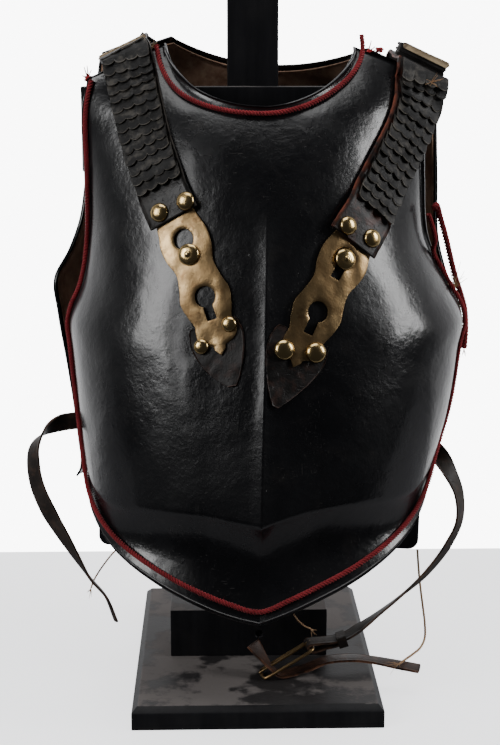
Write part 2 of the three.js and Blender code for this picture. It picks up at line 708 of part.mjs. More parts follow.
const RIGHT_TRACK = new Track([
  outOfChest(13, 276), outOfChest(33, 320), outOfChest(46.8, 348.6), outOfChest(70, 390.7),
  outOfChest(92.5, 426), outOfChest(110, 456), outOfChest(125, 488), outOfChest(133.5, 512),
  { at: v(138, -21, 530), out: v(0.3, -0.9, 0.4) },
  { at: v(139.5, -17.5, 539), out: v(0.38, -0.6, 0.75) },
  { at: v(141.5, -4, 540.8), out: v(0.4, -0.15, 0.9) },
  { at: v(141.5, 14, 541.8), out: v(0.4, -0.05, 0.91) },
  { at: v(140.5, 30, 543), out: v(0.4, 0, 0.91) },
  { at: v(139.5, 44, 545.3), out: v(0.4, 0.35, 0.85) },
  { at: v(138.5, 54, 543), out: v(0.4, 0.8, 0.5) },
  outOfBack(134, 525), outOfBack(126, 500), outOfBack(117, 475), outOfBack(110, 447),
], 3);

// Height of a strap's underside: it lies on the plate, but rises over its brass plate.
function liftedEnd(d) {
  const s = smoothstep(-d, -STRAP.liftFrom, -STRAP.liftTo);
  return lerp(STRAP.lift, GAP + 0.3, s);
}

function strapEdges(side, d) {
  const edges = STRAP_EDGES[side];
  const drift = smoothstep(-d, edges.driftStart, edges.driftEnd);
  return [edges.from + edges.fromDrift * drift, edges.to + edges.toDrift * drift];
}

// One scale row: a slab with a scalloped lower edge, tipped outwards like a roof tile.
// way is 1 where the rows hang down the chest and -1 where they hang down the back.
function scaleRow(side, track, along, heightAt, sunk, way, tilt) {
  const [left, right] = strapEdges(side, along);
  const from = left + SCALE_MARGINS[side][0];
  const lobe = (right - SCALE_MARGINS[side][1] - from) / SCALE.lobes;
  const outline = [[0, -SCALE.length], [SCALE.lobes, -SCALE.length]];
  for (let k = SCALE.lobes; k > 0; k -= 1) {
    for (let j = 0; j < SCALE.lobePoints; j += 1) {
      const s = j / SCALE.lobePoints;
      outline.push([k - s, SCALE.lobeDepth * (Math.sin(Math.PI * s) - 1)]);
    }
  }
  outline.push([0, -SCALE.lobeDepth]);
  const ring = (extra) => outline.map(([x, y]) => {
    const d = along + y * way;
    return track.place(d, from + x * lobe, heightAt(d) + (SCALE.length + y) * tilt - sunk + extra);
  });
  return prism(ring(0), ring(SCALE.thickness));
}

// Closed body between two parallel outlines, with triangulated faces.
function prism(bottom, top) {
  const origin = bottom[0];
  const normal = top[0].clone().sub(bottom[0]).normalize();
  const axisX = bottom[1].clone().sub(origin).normalize();
  const axisY = new THREE.Vector3().crossVectors(normal, axisX);
  const flat = bottom.map((p) => {
    const d = p.clone().sub(origin);
    return new THREE.Vector2(d.dot(axisX), d.dot(axisY));
  });
  const n = flat.length;
  const faces = THREE.ShapeUtils.triangulateShape(flat, []);
  const triangles = [];
  faces.forEach(([a, b, c]) => triangles.push([a, c, b], [a + n, b + n, c + n]));
  const forward = THREE.ShapeUtils.area(flat) > 0;
  for (let k = 0; k < n; k += 1) {
    const next = (k + 1) % n;
    if (forward) triangles.push([k, next, next + n], [k, next + n, k + n]);
    else triangles.push([k, next + n, next], [k, k + n, next + n]);
  }
  return geometryFrom([...bottom, ...top], triangles);
}

function makeScales(side, track) {
  const rows = SCALE_ROWS[side];
  const tilt = (SCALE.thickness + GAP) / SCALE.pitch;
  const height = (d) => liftedEnd(d) + STRAP.thickness + GAP + SCALE.clear;
  for (let k = 0, band = 1; k < rows; k += 2, band += 1) {
    const parts = [];
    for (let j = k; j < Math.min(k + 2, rows); j += 1) {
      const d = SCALE.start - j * SCALE.pitch;
      const sunk = j % 2 === 1 ? SCALE.sink : 0;
      parts.push(scaleRow(side, track, d, height, sunk, 1, tilt));
    }
    add(`${side}_scales_${band}`, joined(parts), blackLeather);
  }
  const backRows = [];
  for (let j = 0; j < SCALE_ROWS.back; j += 1) {
    const d = track.end + SCALE.backStart + j * SCALE.pitch;
    backRows.push(scaleRow(side, track, d, height, 0, -1, tilt * SCALE.backTilt));
  }
  add(`${side}_back_scales`, joined(backRows), blackLeather);
}

function makePlate(side, track) {
  const outline = new THREE.Shape();
  const samples = [];
  for (let k = 0; k < PLATE_OUTLINE.length - 1; k += 1) {
    const a = PLATE_OUTLINE[k];
    const b = PLATE_OUTLINE[k + 1];
    const parts = b.along - a.along > 8 ? 2 : 1;
    for (let j = 0; j < parts; j += 1) {
      const along = lerp(a.along, b.along, j / parts);
      samples.push([along, read(PLATE_OUTLINE, 'along', along, 'half')]);
    }
  }
  const tip = PLATE_OUTLINE[PLATE_OUTLINE.length - 1].along;
  samples.forEach(([along, half], k) => (k ? outline.lineTo(half, along) : outline.moveTo(half, along)));
  outline.lineTo(0, tip);
  samples.reverse().forEach(([along, half]) => outline.lineTo(-half, along));
  outline.closePath();
  [0, PLATE.secondHole].forEach((centre) => outline.holes.push(keyhole(centre)));
  const flat = new THREE.ExtrudeGeometry(outline, { depth: PLATE.thickness, bevelEnabled: false });
  return add(`${side}_brass_plate`, bend(flat, track, PLATE.lift), brass);
}

function keyhole(centre) {
  const hole = new THREE.Path();
  const half = PLATE.slotWidth / 2;
  const open = Math.asin(half / PLATE.hole);
  const steps = 12;
  hole.moveTo(half, centre + PLATE.slotEnd);
  for (let k = 0; k <= steps; k += 1) {
    const angle = Math.PI / 2 - open - (k / steps) * (2 * Math.PI - 2 * open);
    hole.lineTo(PLATE.hole * Math.cos(angle), centre + PLATE.hole * Math.sin(angle));
  }
  hole.lineTo(-half, centre + PLATE.slotEnd);
  hole.closePath();
  return hole;
}

// Wrap a flat piece (X sideways, Y along, Z thickness) onto a track.
function bend(flat, track, lift) {
  const position = flat.attributes.position;
  for (let i = 0; i < position.count; i += 1) {
    const p = track.place(position.getY(i), position.getX(i), lift + position.getZ(i));
    position.setXYZ(i, p.x, p.y, p.z);
  }
  const solid = welded(flat, 1e-3);
  const points = [];
  for (let i = 0; i < solid.attributes.position.count; i += 1) {
    points.push(new THREE.Vector3().fromBufferAttribute(solid.attributes.position, i));
  }
  const triangles = [];
  for (let i = 0; i < solid.index.count; i += 3) {
    triangles.push([solid.index.getX(i), solid.index.getX(i + 1), solid.index.getX(i + 2)]);
  }
  return geometryFrom(points, triangles);
}

function domeGeometry(radius, height, shank = 0, shankLength = 0) {
  const profile = [];
  if (shank) profile.push(new THREE.Vector2(0, -shankLength), new THREE.Vector2(shank, -shankLength));
  profile.push(new THREE.Vector2(shank, 0), new THREE.Vector2(radius, 0));
  for (let k = 1; k <= DOME.rings; k += 1) {
    const angle = (Math.PI / 2) * (k / DOME.rings);
    const r = k === DOME.rings ? 0 : radius * Math.cos(angle);
    profile.push(new THREE.Vector2(r, height * Math.sin(angle)));
  }
  return new THREE.LatheGeometry(profile, DOME.sides).rotateX(Math.PI / 2);
}

function placeDome(name, track, along, sideways, height, geometry) {
  const f = track.frame(along);
  const mesh = add(name, geometry, brass);
  mesh.position.copy(track.place(along, sideways, height));
  mesh.quaternion.setFromUnitVectors(v(0, 0, 1), f.out);
}

function makeTab(side, track) {
  const { start, widest, neck, swell, swellAt, taper } = TAB;
  const { half, shift, tip, tipAside, tipHalf } = TABS[side];
  const outline = new THREE.Shape();
  outline.moveTo(shift + neck - half, start);
  outline.lineTo(shift + half - neck, start);
  outline.quadraticCurveTo(shift + half + swell, start + swellAt, shift + half, widest);
  outline.quadraticCurveTo(shift + half - neck, widest + taper, tipAside + tipHalf, tip);
  outline.lineTo(tipAside - tipHalf, tip);
  outline.quadraticCurveTo(shift + neck - half, widest + taper, shift - half, widest);
  outline.quadraticCurveTo(shift - half - swell, start + swellAt, shift + neck - half, start);
  const flat = new THREE.ExtrudeGeometry(outline, {
    depth: TAB.thickness, bevelEnabled: false, curveSegments: 4,
  });
  add(`${side}_leather_tab`, bend(flat, track, GAP + TAB.clear), blackLeather);
}

function makeStrap(side, track) {
  const edges = (d) => strapEdges(side, d);
  const strap = stripOn(track, STRAP_EDGES[side].end, track.end + STRAP.overrun, STRAP.steps, edges,
    liftedEnd, STRAP.thickness);
  add(`${side}_strap`, strap, side === 'left' ? blackLeather : brownLeather);
}

// Folded leather that finishes each strap where it crosses the shoulder.
function makeCrests() {
  const base = STRAP.thickness + GAP * 2 + CREST.clear;
  const fold = (name, track, crest, above, height, material) => {
    const middle = crestDistance(track, crest.depth);
    const strip = stripOn(track, middle + crest.front, middle - crest.rear, crest.steps,
      () => [crest.from, crest.to], () => above, height);
    add(name, strip, material);
  };
  const { left, right } = CREST;
  fold('left_crest_strip', LEFT_TRACK, left, base, left.height, tanLeather);
  fold('right_crest_stack', RIGHT_TRACK, right, base, right.height, blackLeather);
  fold('right_crest_strip', RIGHT_TRACK, right, base + right.height + GAP, right.skin, tanLeather);
}

// Distance at which a track passes a depth on its way over the shoulder.
function crestDistance(track, depth) {
  let d = 0;
  while (track.frame(d).at.y < depth && d > track.end) d -= 0.5;
  return d;
}

function makeRivets(side, track) {
  const outwards = side === 'left' ? -1 : 1;
  const pair = (which, along, height) => {
    const { radius, aside, shift, slant } = RIVETS[side][which];
    [['outer', 1], ['inner', -1]].forEach(([where, way]) => {
      const dome = domeGeometry(radius, radius * RIVET.rise);
      const sideways = outwards * way * aside + shift;
      placeDome(`${side}_${which}_rivet_${where}`, track, along + way * slant, sideways, height, dome);
    });
  };
  const clear = GAP + RIVET.clear;
  const onPlate = PLATE.lift + PLATE.thickness + clear;
  pair('upper', RIVETS[side].upper.along, STRAP.lift + STRAP.thickness + clear);
  pair('lower', RIVETS[side].lower.along, onPlate);
  pair('back', track.end + RIVET.backInset, GAP * 2 + STRAP.thickness + clear);
  const head = domeGeometry(STUD.head, STUD.height, STUD.shank, PLATE.lift + PLATE.thickness);
  placeDome(`${side}_stud`, track, STUD.along[side], 0, onPlate, head);
}

// ---------------------------------------------------------------- belts, buckle and loose threads

function makeBelts() {
  const left = [
    { at: v(-162, 22, 226), side: v(0, 0, 1) },
    { at: v(-175, 18, 225), side: v(0.1, 0, 1) },
    { at: v(-187, 9, 221), side: v(0.4, -0.3, 0.8) },
    { at: v(-198, 2, 207), side: v(0.6, -0.7, 0.3) },
    { at: v(-199.2, -2, 190.7), side: v(0.75, -0.6, 0) },
    { at: v(-196, -4, 171.5), side: v(0.85, -0.5, 0.1) },
    { at: v(-186, -7, 148), side: v(0.85, -0.4, 0.3) },
    { at: v(-171, -10, 122), side: v(0.7, -0.7, 0.3) },
    { at: v(-149.6, -14, 87), side: v(0.2, -1, 0.1) },
    { at: v(-135.2, -17, 70), side: v(0.25, -1, 0.1) },
    { at: v(-126.3, -20, 48), side: v(0.3, -0.9, 0) },
  ];
  add('left_belt', strip(left, BELT.width, BELT.thickness), brownLeather);

  const endSide = v(-0.18, 0.98, 0);
  const right = [
    { at: v(164, 22, 201), side: v(0.1, 0.2, 0.95) },
    { at: v(171, 12, 194), side: v(0.2, 0.4, 0.9) },
    { at: v(179, 2, 181), side: v(0.5, 0.6, 0.5) },
    { at: v(187, -5, 162), side: v(0.55, 0.8, 0.15) },
    { at: v(187, -12, 139), side: v(0.5, 0.85, -0.1) },
    { at: v(175, -24, 119), side: v(0.35, 0.75, -0.55) },
    { at: v(155, -38, 99), side: v(0.1, 0.75, -0.65) },
    { at: v(129, -54, 82), side: v(0, 0.9, -0.4) },
    { at: v(106, -67, 69.5), side: v(0, 1, -0.2) },
    { at: v(89.5, -75, 60.5), side: endSide },
    { at: v(79, -77.6, 54.8), side: endSide },
    { at: v(68, -78.2, 51.8), side: endSide },
    { at: v(58, -78.2, 50.8), side: endSide },
    { at: v(50, -78.2, 50.2), side: endSide },
    { at: v(45.5, -78.2, 49), side: endSide },
    { at: v(44.3, -78.2, 46.5), side: endSide },
    { at: v(45.5, -78.2, 44), side: endSide },
    { at: v(50, -78.2, 43), side: endSide },
    { at: v(58, -78.2, 45.6), side: endSide },
    { at: v(68, -78.2, 48), side: endSide },
    { at: v(78, -77.8, 50.9), side: endSide },
  ];
  add('right_belt', strip(right, BELT.width, BELT.thickness), brownLeather);

  const remnant = [
    { at: v(144, -77, 23.2), side: v(0, 1, 0.1) },
    { at: v(124, -72, 25.5), side: v(0, 1, 0.1) },
    { at: v(103, -69, 28.5), side: v(0, 1, 0) },
    { at: v(86, -69, 30.5), side: v(0, 1, 0) },
    { at: v(63, -72, 30), side: v(0, 1, 0) },
    { at: v(45, -79, 26), side: v(0, 1, 0) },
    { at: v(30, -83, 23), side: v(0, 1, 0) },
    { at: v(20, -84.8, 23), side: v(-0.1, 1, 0) },
    { at: v(13, -84.8, 29), side: v(-0.1, 1, 0) },
    { at: v(6, -82, 37), side: v(0.3, 1, 0) },
    { at: v(-2.5, -77, 48), side: v(0.7, 0.8, 0.3) },
  ];
  add('buckle_strap', strip(remnant, BELT.remnantWidth, BELT.remnantThickness), brownLeather);
  makeBuckle(endSide.clone().normalize());
  makeKeeper(endSide.clone().normalize());
}

function makeBuckle(depthWay) {
  const nearLeft = v(7, -96, 22.6);
  const nearRight = v(50.2, -88, 46.5);
  const farLeft = nearLeft.clone().addScaledVector(depthWay, BUCKLE.depth);
  const farRight = nearRight.clone().addScaledVector(depthWay, BUCKLE.depth);
  const corners = [nearLeft, nearRight, farRight, farLeft];
  const plane = new THREE.Vector3().crossVectors(nearRight.clone().sub(nearLeft), depthWay).normalize();
  const middle = corners.reduce((sum, c) => sum.add(c), v(0, 0, 0)).divideScalar(corners.length);
  const around = corners.map((corner) => {
    const outwards = corner.clone().sub(middle).normalize();
    const section = [];
    for (let k = 0; k < BUCKLE.sides; k += 1) {
      const angle = (2 * Math.PI * k) / BUCKLE.sides;
      section.push(corner.clone().addScaledVector(outwards, (BUCKLE.bar / Math.SQRT2) * Math.cos(angle))
        .addScaledVector(plane, (BUCKLE.bar / 2) * Math.sin(angle)));
    }
    return section;
  });
  add('buckle_frame', ringLoft(around), brass);
}

// Band of leather closed round the belt.
function makeKeeper(depthWay) {
  const middle = v(75, -77.9, 51.9);
  const along = v(10, 0.4, 3).normalize();
  const width = depthWay.addScaledVector(along, -depthWay.dot(along)).normalize();
  const up = new THREE.Vector3().crossVectors(along, width);
  const square = (grow, end) => [[-1, -1], [1, -1], [1, 1], [-1, 1]].map(([sx, sy]) => middle.clone()
    .addScaledVector(along, (end * KEEPER.length) / 2)
    .addScaledVector(width, sx * (BELT.width / 2 + KEEPER.sideways + grow))
    .addScaledVector(up, sy * (BELT.thickness + KEEPER.room + grow)));
  const rings = [square(KEEPER.wall, -1), square(KEEPER.wall, 1), square(0, 1), square(0, -1)];
  add('belt_keeper', ringLoft(rings), brownLeather);
}

// Closed ring through sections whose last joins the first.
function ringLoft(sections) {
  const count = sections[0].length;
  const points = sections.flat();
  const triangles = [];
  sections.forEach((section, r) => {
    const next = ((r + 1) % sections.length) * count;
    for (let k = 0; k < count; k += 1) {
      const a = r * count + k;
      const b = r * count + ((k + 1) % count);
      const c = next + ((k + 1) % count);
      const d = next + k;
      triangles.push([a, b, c], [a, c, d]);
    }
  });
  return geometryFrom(points, triangles);
}

function makeTwines() {
  const right = [v(149, -14, 112), v(150.2, -15, 96), v(152, -17, 78), v(154.3, -20, 60), v(156, -25, 44),
    v(155, -33, 34), v(150, -43, 29), v(142, -55, 28), v(134, -67, 28.3), v(126.5, -78, 28.2)];
  add('right_twine', cordAlong(right, TWINE.diameter, 18), twine);
  const left = [v(-124, -1, 112), v(-131, 0, 104), v(-137, 1, 96), v(-143, 2, 87), v(-147.5, 3, 79),
    v(-150.5, 4, 71)];
  add('left_twine', cordAlong(left, TWINE.thin, 8), twine);
  const short = [v(29, -146, 102), v(33, -147, 96.5), v(38, -147, 92), v(43, -148, 90)];
  add('short_thread', cordAlong(short, TWINE.thin, 5), twine);
}

makeStand();
makeShells();
makeEdgeCords();
[['left', LEFT_TRACK], ['right', RIGHT_TRACK]].forEach(([side, track]) => {
  makeStrap(side, track);
  makeScales(side, track);
  makePlate(side, track);
  makeTab(side, track);
  makeRivets(side, track);
});
makeCrests();
makeBelts();
makeTwines();

export default group;
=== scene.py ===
# %% [markdown]
# # A blackened cuirass on its display stand
#
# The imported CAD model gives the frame, and this file gives the looks. Each piece that the eye
# rests on is rebuilt as a finer mesh in the same place as its CAD solid, and every surface gets
# a material made of nodes. Sizes are in millimetres, as in the part, and become metres when a
# mesh is made.

# %% Load the frame
import math
import random

import bmesh
import bpy
import numpy as np
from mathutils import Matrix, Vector, noise


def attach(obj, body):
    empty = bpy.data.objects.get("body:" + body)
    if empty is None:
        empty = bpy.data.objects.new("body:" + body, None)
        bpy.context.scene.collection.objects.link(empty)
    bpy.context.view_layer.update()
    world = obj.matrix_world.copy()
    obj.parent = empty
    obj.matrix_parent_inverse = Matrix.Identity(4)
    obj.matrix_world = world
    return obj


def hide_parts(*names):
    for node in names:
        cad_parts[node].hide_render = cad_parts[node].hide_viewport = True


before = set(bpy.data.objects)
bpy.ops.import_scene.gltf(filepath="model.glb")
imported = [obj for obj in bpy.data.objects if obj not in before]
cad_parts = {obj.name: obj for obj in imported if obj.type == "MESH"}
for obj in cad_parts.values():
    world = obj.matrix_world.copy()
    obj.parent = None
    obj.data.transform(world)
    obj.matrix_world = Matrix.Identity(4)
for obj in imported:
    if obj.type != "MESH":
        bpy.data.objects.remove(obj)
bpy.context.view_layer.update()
MM = 0.001
print("CAD nodes:", len(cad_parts))

# %% [markdown]
# ## Small tools for meshes
#
# Most pieces here are grids of points that follow a rule: a shell, a strip or a cord. A grid
# only needs its points and a list of quads, so one helper turns numpy arrays into a mesh, and
# a second one joins two grids into a closed wall. The wall gets one more row of points round its
# edge, so that the edge is rounded, as filed steel or cut leather is.

# %% Mesh helpers
def new_object(name, data):
    """An object in the scene, at the origin, that shows a mesh, curve, light or camera."""
    obj = bpy.data.objects.new(name, data)
    bpy.context.scene.collection.objects.link(obj)
    return obj


def make_object(name, points, faces, material, smooth=True, uvs=None):
    """A mesh object from points in millimetres."""
    mesh = bpy.data.meshes.new(name)
    mesh.from_pydata((np.asarray(points) * MM).tolist(), [], faces)
    mesh.polygons.foreach_set("use_smooth", [smooth] * len(mesh.polygons))
    if uvs is not None:
        layer = mesh.uv_layers.new(name="UVMap")
        loops = np.empty(len(mesh.loops), int)
        mesh.loops.foreach_get("vertex_index", loops)
        layer.data.foreach_set("uv", np.asarray(uvs, float)[loops].ravel())
    mesh.materials.append(material)
    return new_object(name, mesh)


def grid_quads(rows, columns, start=0, wrap=False):
    """Quads of a grid of points stored row after row."""
    r = np.arange(rows - 1)[:, None]
    c = np.arange(columns if wrap else columns - 1)[None, :]
    n = (c + 1) % columns
    a, b = r * columns + c, r * columns + n
    return np.stack([a, b, b + columns, a + columns], -1).reshape(-1, 4) + start


def unit(vectors):
    """The same directions with a length of 1."""
    return vectors / np.maximum(np.linalg.norm(vectors, axis=-1, keepdims=True), 1e-9)


def grid_normals(grid, away):
    """Unit normals of a grid, on the side that the vectors of away point to."""
    normals = unit(np.cross(np.gradient(grid, axis=1), np.gradient(grid, axis=0)))
    flip = np.sign((normals * away).sum(-1, keepdims=True))
    return normals * np.where(flip == 0, 1, flip)


def border_of(grid):
    """Row numbers and column numbers of the points round the edge of a grid, in order."""
    rows, columns = grid.shape[:2]
    ring = [(0, c) for c in range(columns)] + [(r, columns - 1) for r in range(1, rows)]
    ring += [(rows - 1, c) for c in range(columns - 2, -1, -1)]
    ring += [(r, 0) for r in range(rows - 2, 0, -1)]
    return tuple(np.array(ring).T)


ROUNDING = 0.6  # how far a wall's edge bulges, as a share of half its thickness


def closed_wall(outer, inner):
    """Points and quads of a wall between two grids, with a rounded edge."""
    rows, columns = outer.shape[:2]
    rr, cc = border_of(outer)
    inward_r, inward_c = np.clip(rr, 1, rows - 2), np.clip(cc, 1, columns - 2)
    middle = (outer[rr, cc] + inner[rr, cc]) / 2
    half = np.linalg.norm(outer[rr, cc] - inner[rr, cc], axis=1, keepdims=True) / 2
    inside = (outer[inward_r, inward_c] + inner[inward_r, inward_c]) / 2
    rim = middle + unit(middle - inside) * half * ROUNDING
    points = np.concatenate([outer.reshape(-1, 3), inner.reshape(-1, 3), rim])
    count, base = rows * columns, 2 * rows * columns
    at_outer = rr * columns + cc
    following = np.roll(np.arange(len(rr)), -1)
    edge = base + np.arange(len(rr))
    front = np.stack([at_outer, edge, edge[following], at_outer[following]], -1)
    back = np.stack([edge, at_outer + count, (at_outer + count)[following], edge[following]], -1)
    quads = np.concatenate([
        grid_quads(rows, columns), grid_quads(rows, columns, count)[:, ::-1],
        front[:, ::-1], back[:, ::-1]])
    return points, quads


def outward(points, quads):
    """Turn all quads round if the closed mesh is inside out."""
    a, b, c, d = (points[quads[:, k]] for k in range(4))
    volume = (a * np.cross(b, c)).sum() + (a * np.cross(c, d)).sum()
    return quads if volume > 0 else quads[:, ::-1]


def wall_object(name, outer, inner, material, uvs=None):
    """A closed wall as an object, with the same UV places on both faces."""
    points, quads = closed_wall(outer, inner)
    if uvs is not None:
        flat = uvs.reshape(-1, 2)
        uvs = np.concatenate([flat, flat, uvs[border_of(outer)]])
    return make_object(name, points, outward(points, quads).tolist(), material, uvs=uvs)


def place(obj, material_slot, *nodes):
    """Hang a finished piece on the frame in place of its CAD nodes."""
    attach(obj, "root")
    if nodes:
        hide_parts(*nodes)
    print(obj.name, "faces:", len(obj.data.polygons) if obj.type == "MESH" else "curve")
    return obj


def read_table(table, at):
    """Smooth values of all columns of a table whose first column is sorted, as in the part."""
    table = np.asarray(table, float)
    keys = table[:, 0]
    at = np.clip(np.asarray(at, float), keys[0], keys[-1])
    i = np.clip(np.searchsorted(keys, at) - 1, 0, len(keys) - 2)
    low = np.maximum(np.arange(len(keys)) - 1, 0)
    high = np.minimum(np.arange(len(keys)) + 1, len(keys) - 1)
    slopes = (table[high] - table[low]) / (keys[high] - keys[low])[:, None]
    step = (keys[i + 1] - keys[i])[..., None]
    s = (at[..., None] - keys[i][..., None]) / step
    rise = table[i + 1] - table[i]
    begin, end = slopes[i] * step, slopes[i + 1] * step
    return table[i] + s * (begin + s * (3 * rise - 2 * begin - end + s * (begin + end - 2 * rise)))


def smoothstep(x, low, high):
    """A soft step from 0 at low to 1 at high."""
    t = np.clip((x - low) / (high - low), 0, 1)
    return t * t * (3 - 2 * t)


def ripple(x, y, z):
    """Smooth noise from -1 to 1 at places whose coordinates are numbers or arrays."""
    places = np.stack(np.broadcast_arrays(x, y, z), -1).astype(float)
    return np.array([noise.noise(Vector(p)) for p in places.reshape(-1, 3)]).reshape(places.shape[:-1])


def wobble(points, scale, seed):
    """The same noise at each point of a grid, with waves of about the scale."""
    return ripple(*np.moveaxis(points / scale + seed, -1, 0))


def rows_at(at, keys, rows):
    """Points between the rows of a table of points, by the key of each row."""
    return np.stack([np.interp(at, keys, rows[:, k]) for k in range(3)], -1)

# %% [markdown]
# ## Node groups that several finishes share
#
# Real surfaces repeat a few effects: fine grain that catches the light, scratches, and dust or
# wear in patches. Each effect is a shader node group with named inputs, built once. The groups
# put out only values, which each material then feeds into its own colour, roughness and bump.

# %% Node group helpers
FLOAT, INT, MATERIAL = "NodeSocketFloat", "NodeSocketInt", "NodeSocketMaterial"


def add_inputs(tree, inputs):
    """Named inputs of a node group, from triples of name, kind and value."""
    for label, kind, value in inputs:
        socket = tree.interface.new_socket(label, in_out="INPUT", socket_type=kind)
        if value is not None:
            socket.default_value = value


def value_group(name, output, **values):
    """A shader group with a vector, some values and one result, and the sockets inside it."""
    tree = bpy.data.node_groups.new(name, "ShaderNodeTree")
    add_inputs(tree, [("Vector", "NodeSocketVector", None)] + [(k, FLOAT, v) for k, v in values.items()])
    tree.interface.new_socket(output, in_out="OUTPUT", socket_type="NodeSocketFloat")
    return tree, tree.nodes.new("NodeGroupInput").outputs, tree.nodes.new("NodeGroupOutput").inputs[0]


def add_node(tree, kind, links=(), **settings):
    """A node with its properties, and its inputs either linked or given a value."""
    node = tree.nodes.new(kind)
    for key, value in settings.items():
        setattr(node, key, value)
    for key, value in dict(links).items():
        if isinstance(value, bpy.types.NodeSocket):
            tree.links.new(value, node.inputs[key])
        else:
            node.inputs[key].default_value = value
    return node


def math_node(tree, operation, a, b=None, clamp=False):
    """The result of a sum, product or other operation on one or two sockets or numbers."""
    values = {0: a} if b is None else {0: a, 1: b}
    return add_node(tree, "ShaderNodeMath", values, operation=operation, use_clamp=clamp).outputs[0]


# Patches: cloudy areas with soft edges, for dust, wear and colour changes.
patches, given, result = value_group("Patches", "Mask", Scale=10.0, Amount=0.5, Softness=0.15)
cloud = add_node(patches, "ShaderNodeTexNoise", {
    "Vector": given["Vector"], "Scale": given["Scale"], "Detail": 6.0, "Roughness": 0.62})
threshold = math_node(patches, "SUBTRACT", 1.0, given["Amount"])
low = math_node(patches, "SUBTRACT", threshold, given["Softness"])
high = math_node(patches, "ADD", threshold, given["Softness"])
ramp = add_node(patches, "ShaderNodeMapRange", {
    "Value": cloud.outputs[0], "From Min": low, "From Max": high}, interpolation_type="SMOOTHSTEP")
patches.links.new(ramp.outputs[0], result)

# Scratches: fine straight hairlines. Noise is drawn out in two directions, and only its crests show.
scratches, given, result = value_group("Scratches", "Mask", Scale=900.0, Amount=0.5)
lines = []
for turn, stretch in (((0.1, 0.15, 0.5), (1.0, 1.0, 0.03)), ((0.5, 0.7, -0.4), (0.04, 1.0, 1.0))):
    mapped = add_node(scratches, "ShaderNodeMapping", {
        "Vector": given["Vector"], "Rotation": turn, "Scale": stretch})
    streak = add_node(scratches, "ShaderNodeTexNoise", {
        "Vector": mapped.outputs[0], "Scale": given["Scale"], "Detail": 1.0})
    lines.append(add_node(scratches, "ShaderNodeMapRange", {
        "Value": streak.outputs[0], "From Min": 0.68, "From Max": 0.76}).outputs[0])
broken = add_node(scratches, "ShaderNodeTexNoise", {
    "Vector": given["Vector"], "Scale": 34.0, "Detail": 2.0})
shown = math_node(scratches, "LESS_THAN", broken.outputs[0], given["Amount"])
hairs = math_node(scratches, "MAXIMUM", *lines)
scratches.links.new(math_node(scratches, "MULTIPLY", hairs, shown), result)

# Grain: the fine relief of painted, hammered or hide surfaces, from 0 to 1.
grain, given, result = value_group("Grain", "Height", Scale=300.0, Cells=0.0)
fine = add_node(grain, "ShaderNodeTexNoise", {
    "Vector": given["Vector"], "Scale": given["Scale"], "Detail": 4.0, "Roughness": 0.55})
pebbles = add_node(grain, "ShaderNodeTexVoronoi", {
    "Vector": given["Vector"], "Scale": given["Scale"]}, feature="SMOOTH_F1")
mixed = add_node(grain, "ShaderNodeMix", {
    "Factor": given["Cells"], "A": fine.outputs[0], "B": pebbles.outputs["Distance"]}, data_type="FLOAT")
grain.links.new(mixed.outputs[0], result)
print("node groups:", [g.name for g in (patches, scratches, grain)])

# %% Material helpers
class Finish:
    """A material with one Principled shader, and short calls to place groups and mix colours."""

    def __init__(self, name, metallic=0.0, **sockets):
        self.material = bpy.data.materials.new(name)
        self.material.use_nodes = True
        self.tree = self.material.node_tree
        self.shader = self.tree.nodes["Principled BSDF"]
        self.shader.inputs["Metallic"].default_value = metallic
        for key, value in sockets.items():
            self.shader.inputs[key.replace("_", " ")].default_value = value
        self.where = self.tree.nodes.new("ShaderNodeTexCoord").outputs["Object"]
        self.heights = []
        print("finish:", name)

    def group(self, tree, **values):
        """The result of one of the shared groups, at the piece's own coordinates."""
        node = add_node(self.tree, "ShaderNodeGroup", node_tree=tree)
        self.tree.links.new(values.pop("Vector", self.where), node.inputs["Vector"])
        for key, value in values.items():
            node.inputs[key].default_value = value
        return node.outputs[0]

    def patchy(self, scale, amount, softness, **values):
        return self.group(patches, Scale=scale, Amount=amount, Softness=softness, **values)

    def math(self, operation, a, b=None, clamp=False):
        return math_node(self.tree, operation, a, b, clamp)

    def mix(self, mask, a, b, share=1.0):
        """Colour between a and b by a mask, of which only a share may count."""
        if share < 1:
            mask = self.math("MULTIPLY", mask, share)
        node = add_node(self.tree, "ShaderNodeMix", data_type="RGBA", clamp_factor=True)
        for value, socket in ((mask, 0), (a, 6), (b, 7)):
            if isinstance(value, bpy.types.NodeSocket):
                self.tree.links.new(value, node.inputs[socket])
            else:
                node.inputs[socket].default_value = (*value, 1.0) if socket else value
        return node.outputs[2]

    def between(self, mask, low, high):
        """Value between low and high by a mask."""
        return add_node(self.tree, "ShaderNodeMapRange", {
            "Value": mask, "To Min": low, "To Max": high}).outputs[0]

    def feed(self, **sockets):
        """Links results to inputs of the shader, with _ for a space in a name."""
        for key, socket in sockets.items():
            self.tree.links.new(socket, self.shader.inputs[key.replace("_", " ")])

    def bump(self, height, distance, strength=1.0):
        """Adds a layer of relief on the ones before it, distance in metres."""
        node = add_node(self.tree, "ShaderNodeBump", {
            "Height": height, "Distance": distance, "Strength": strength})
        if self.heights:
            self.tree.links.new(self.heights[-1], node.inputs["Normal"])
        self.heights.append(node.outputs[0])
        self.feed(Normal=node.outputs[0])

    def relief(self, scale, distance, strength, **values):
        """Adds a layer of grain to the relief."""
        self.bump(self.group(grain, Scale=scale, **values), distance, strength)

# %% [markdown]
# ## Blackened steel
#
# Munition armour was painted or blackened against rust. The paint is thick and a little uneven,
# so the light runs over it in broken patches, and old scratches show a lighter grey. The coat is
# modelled as a dark dielectric with low roughness rather than as bare metal, because what
# the eye sees is the paint and not the steel. Handling has dulled it in clouds. The relief is
# three sizes of grain, each on top of the one before, with tiny chips cut into it.

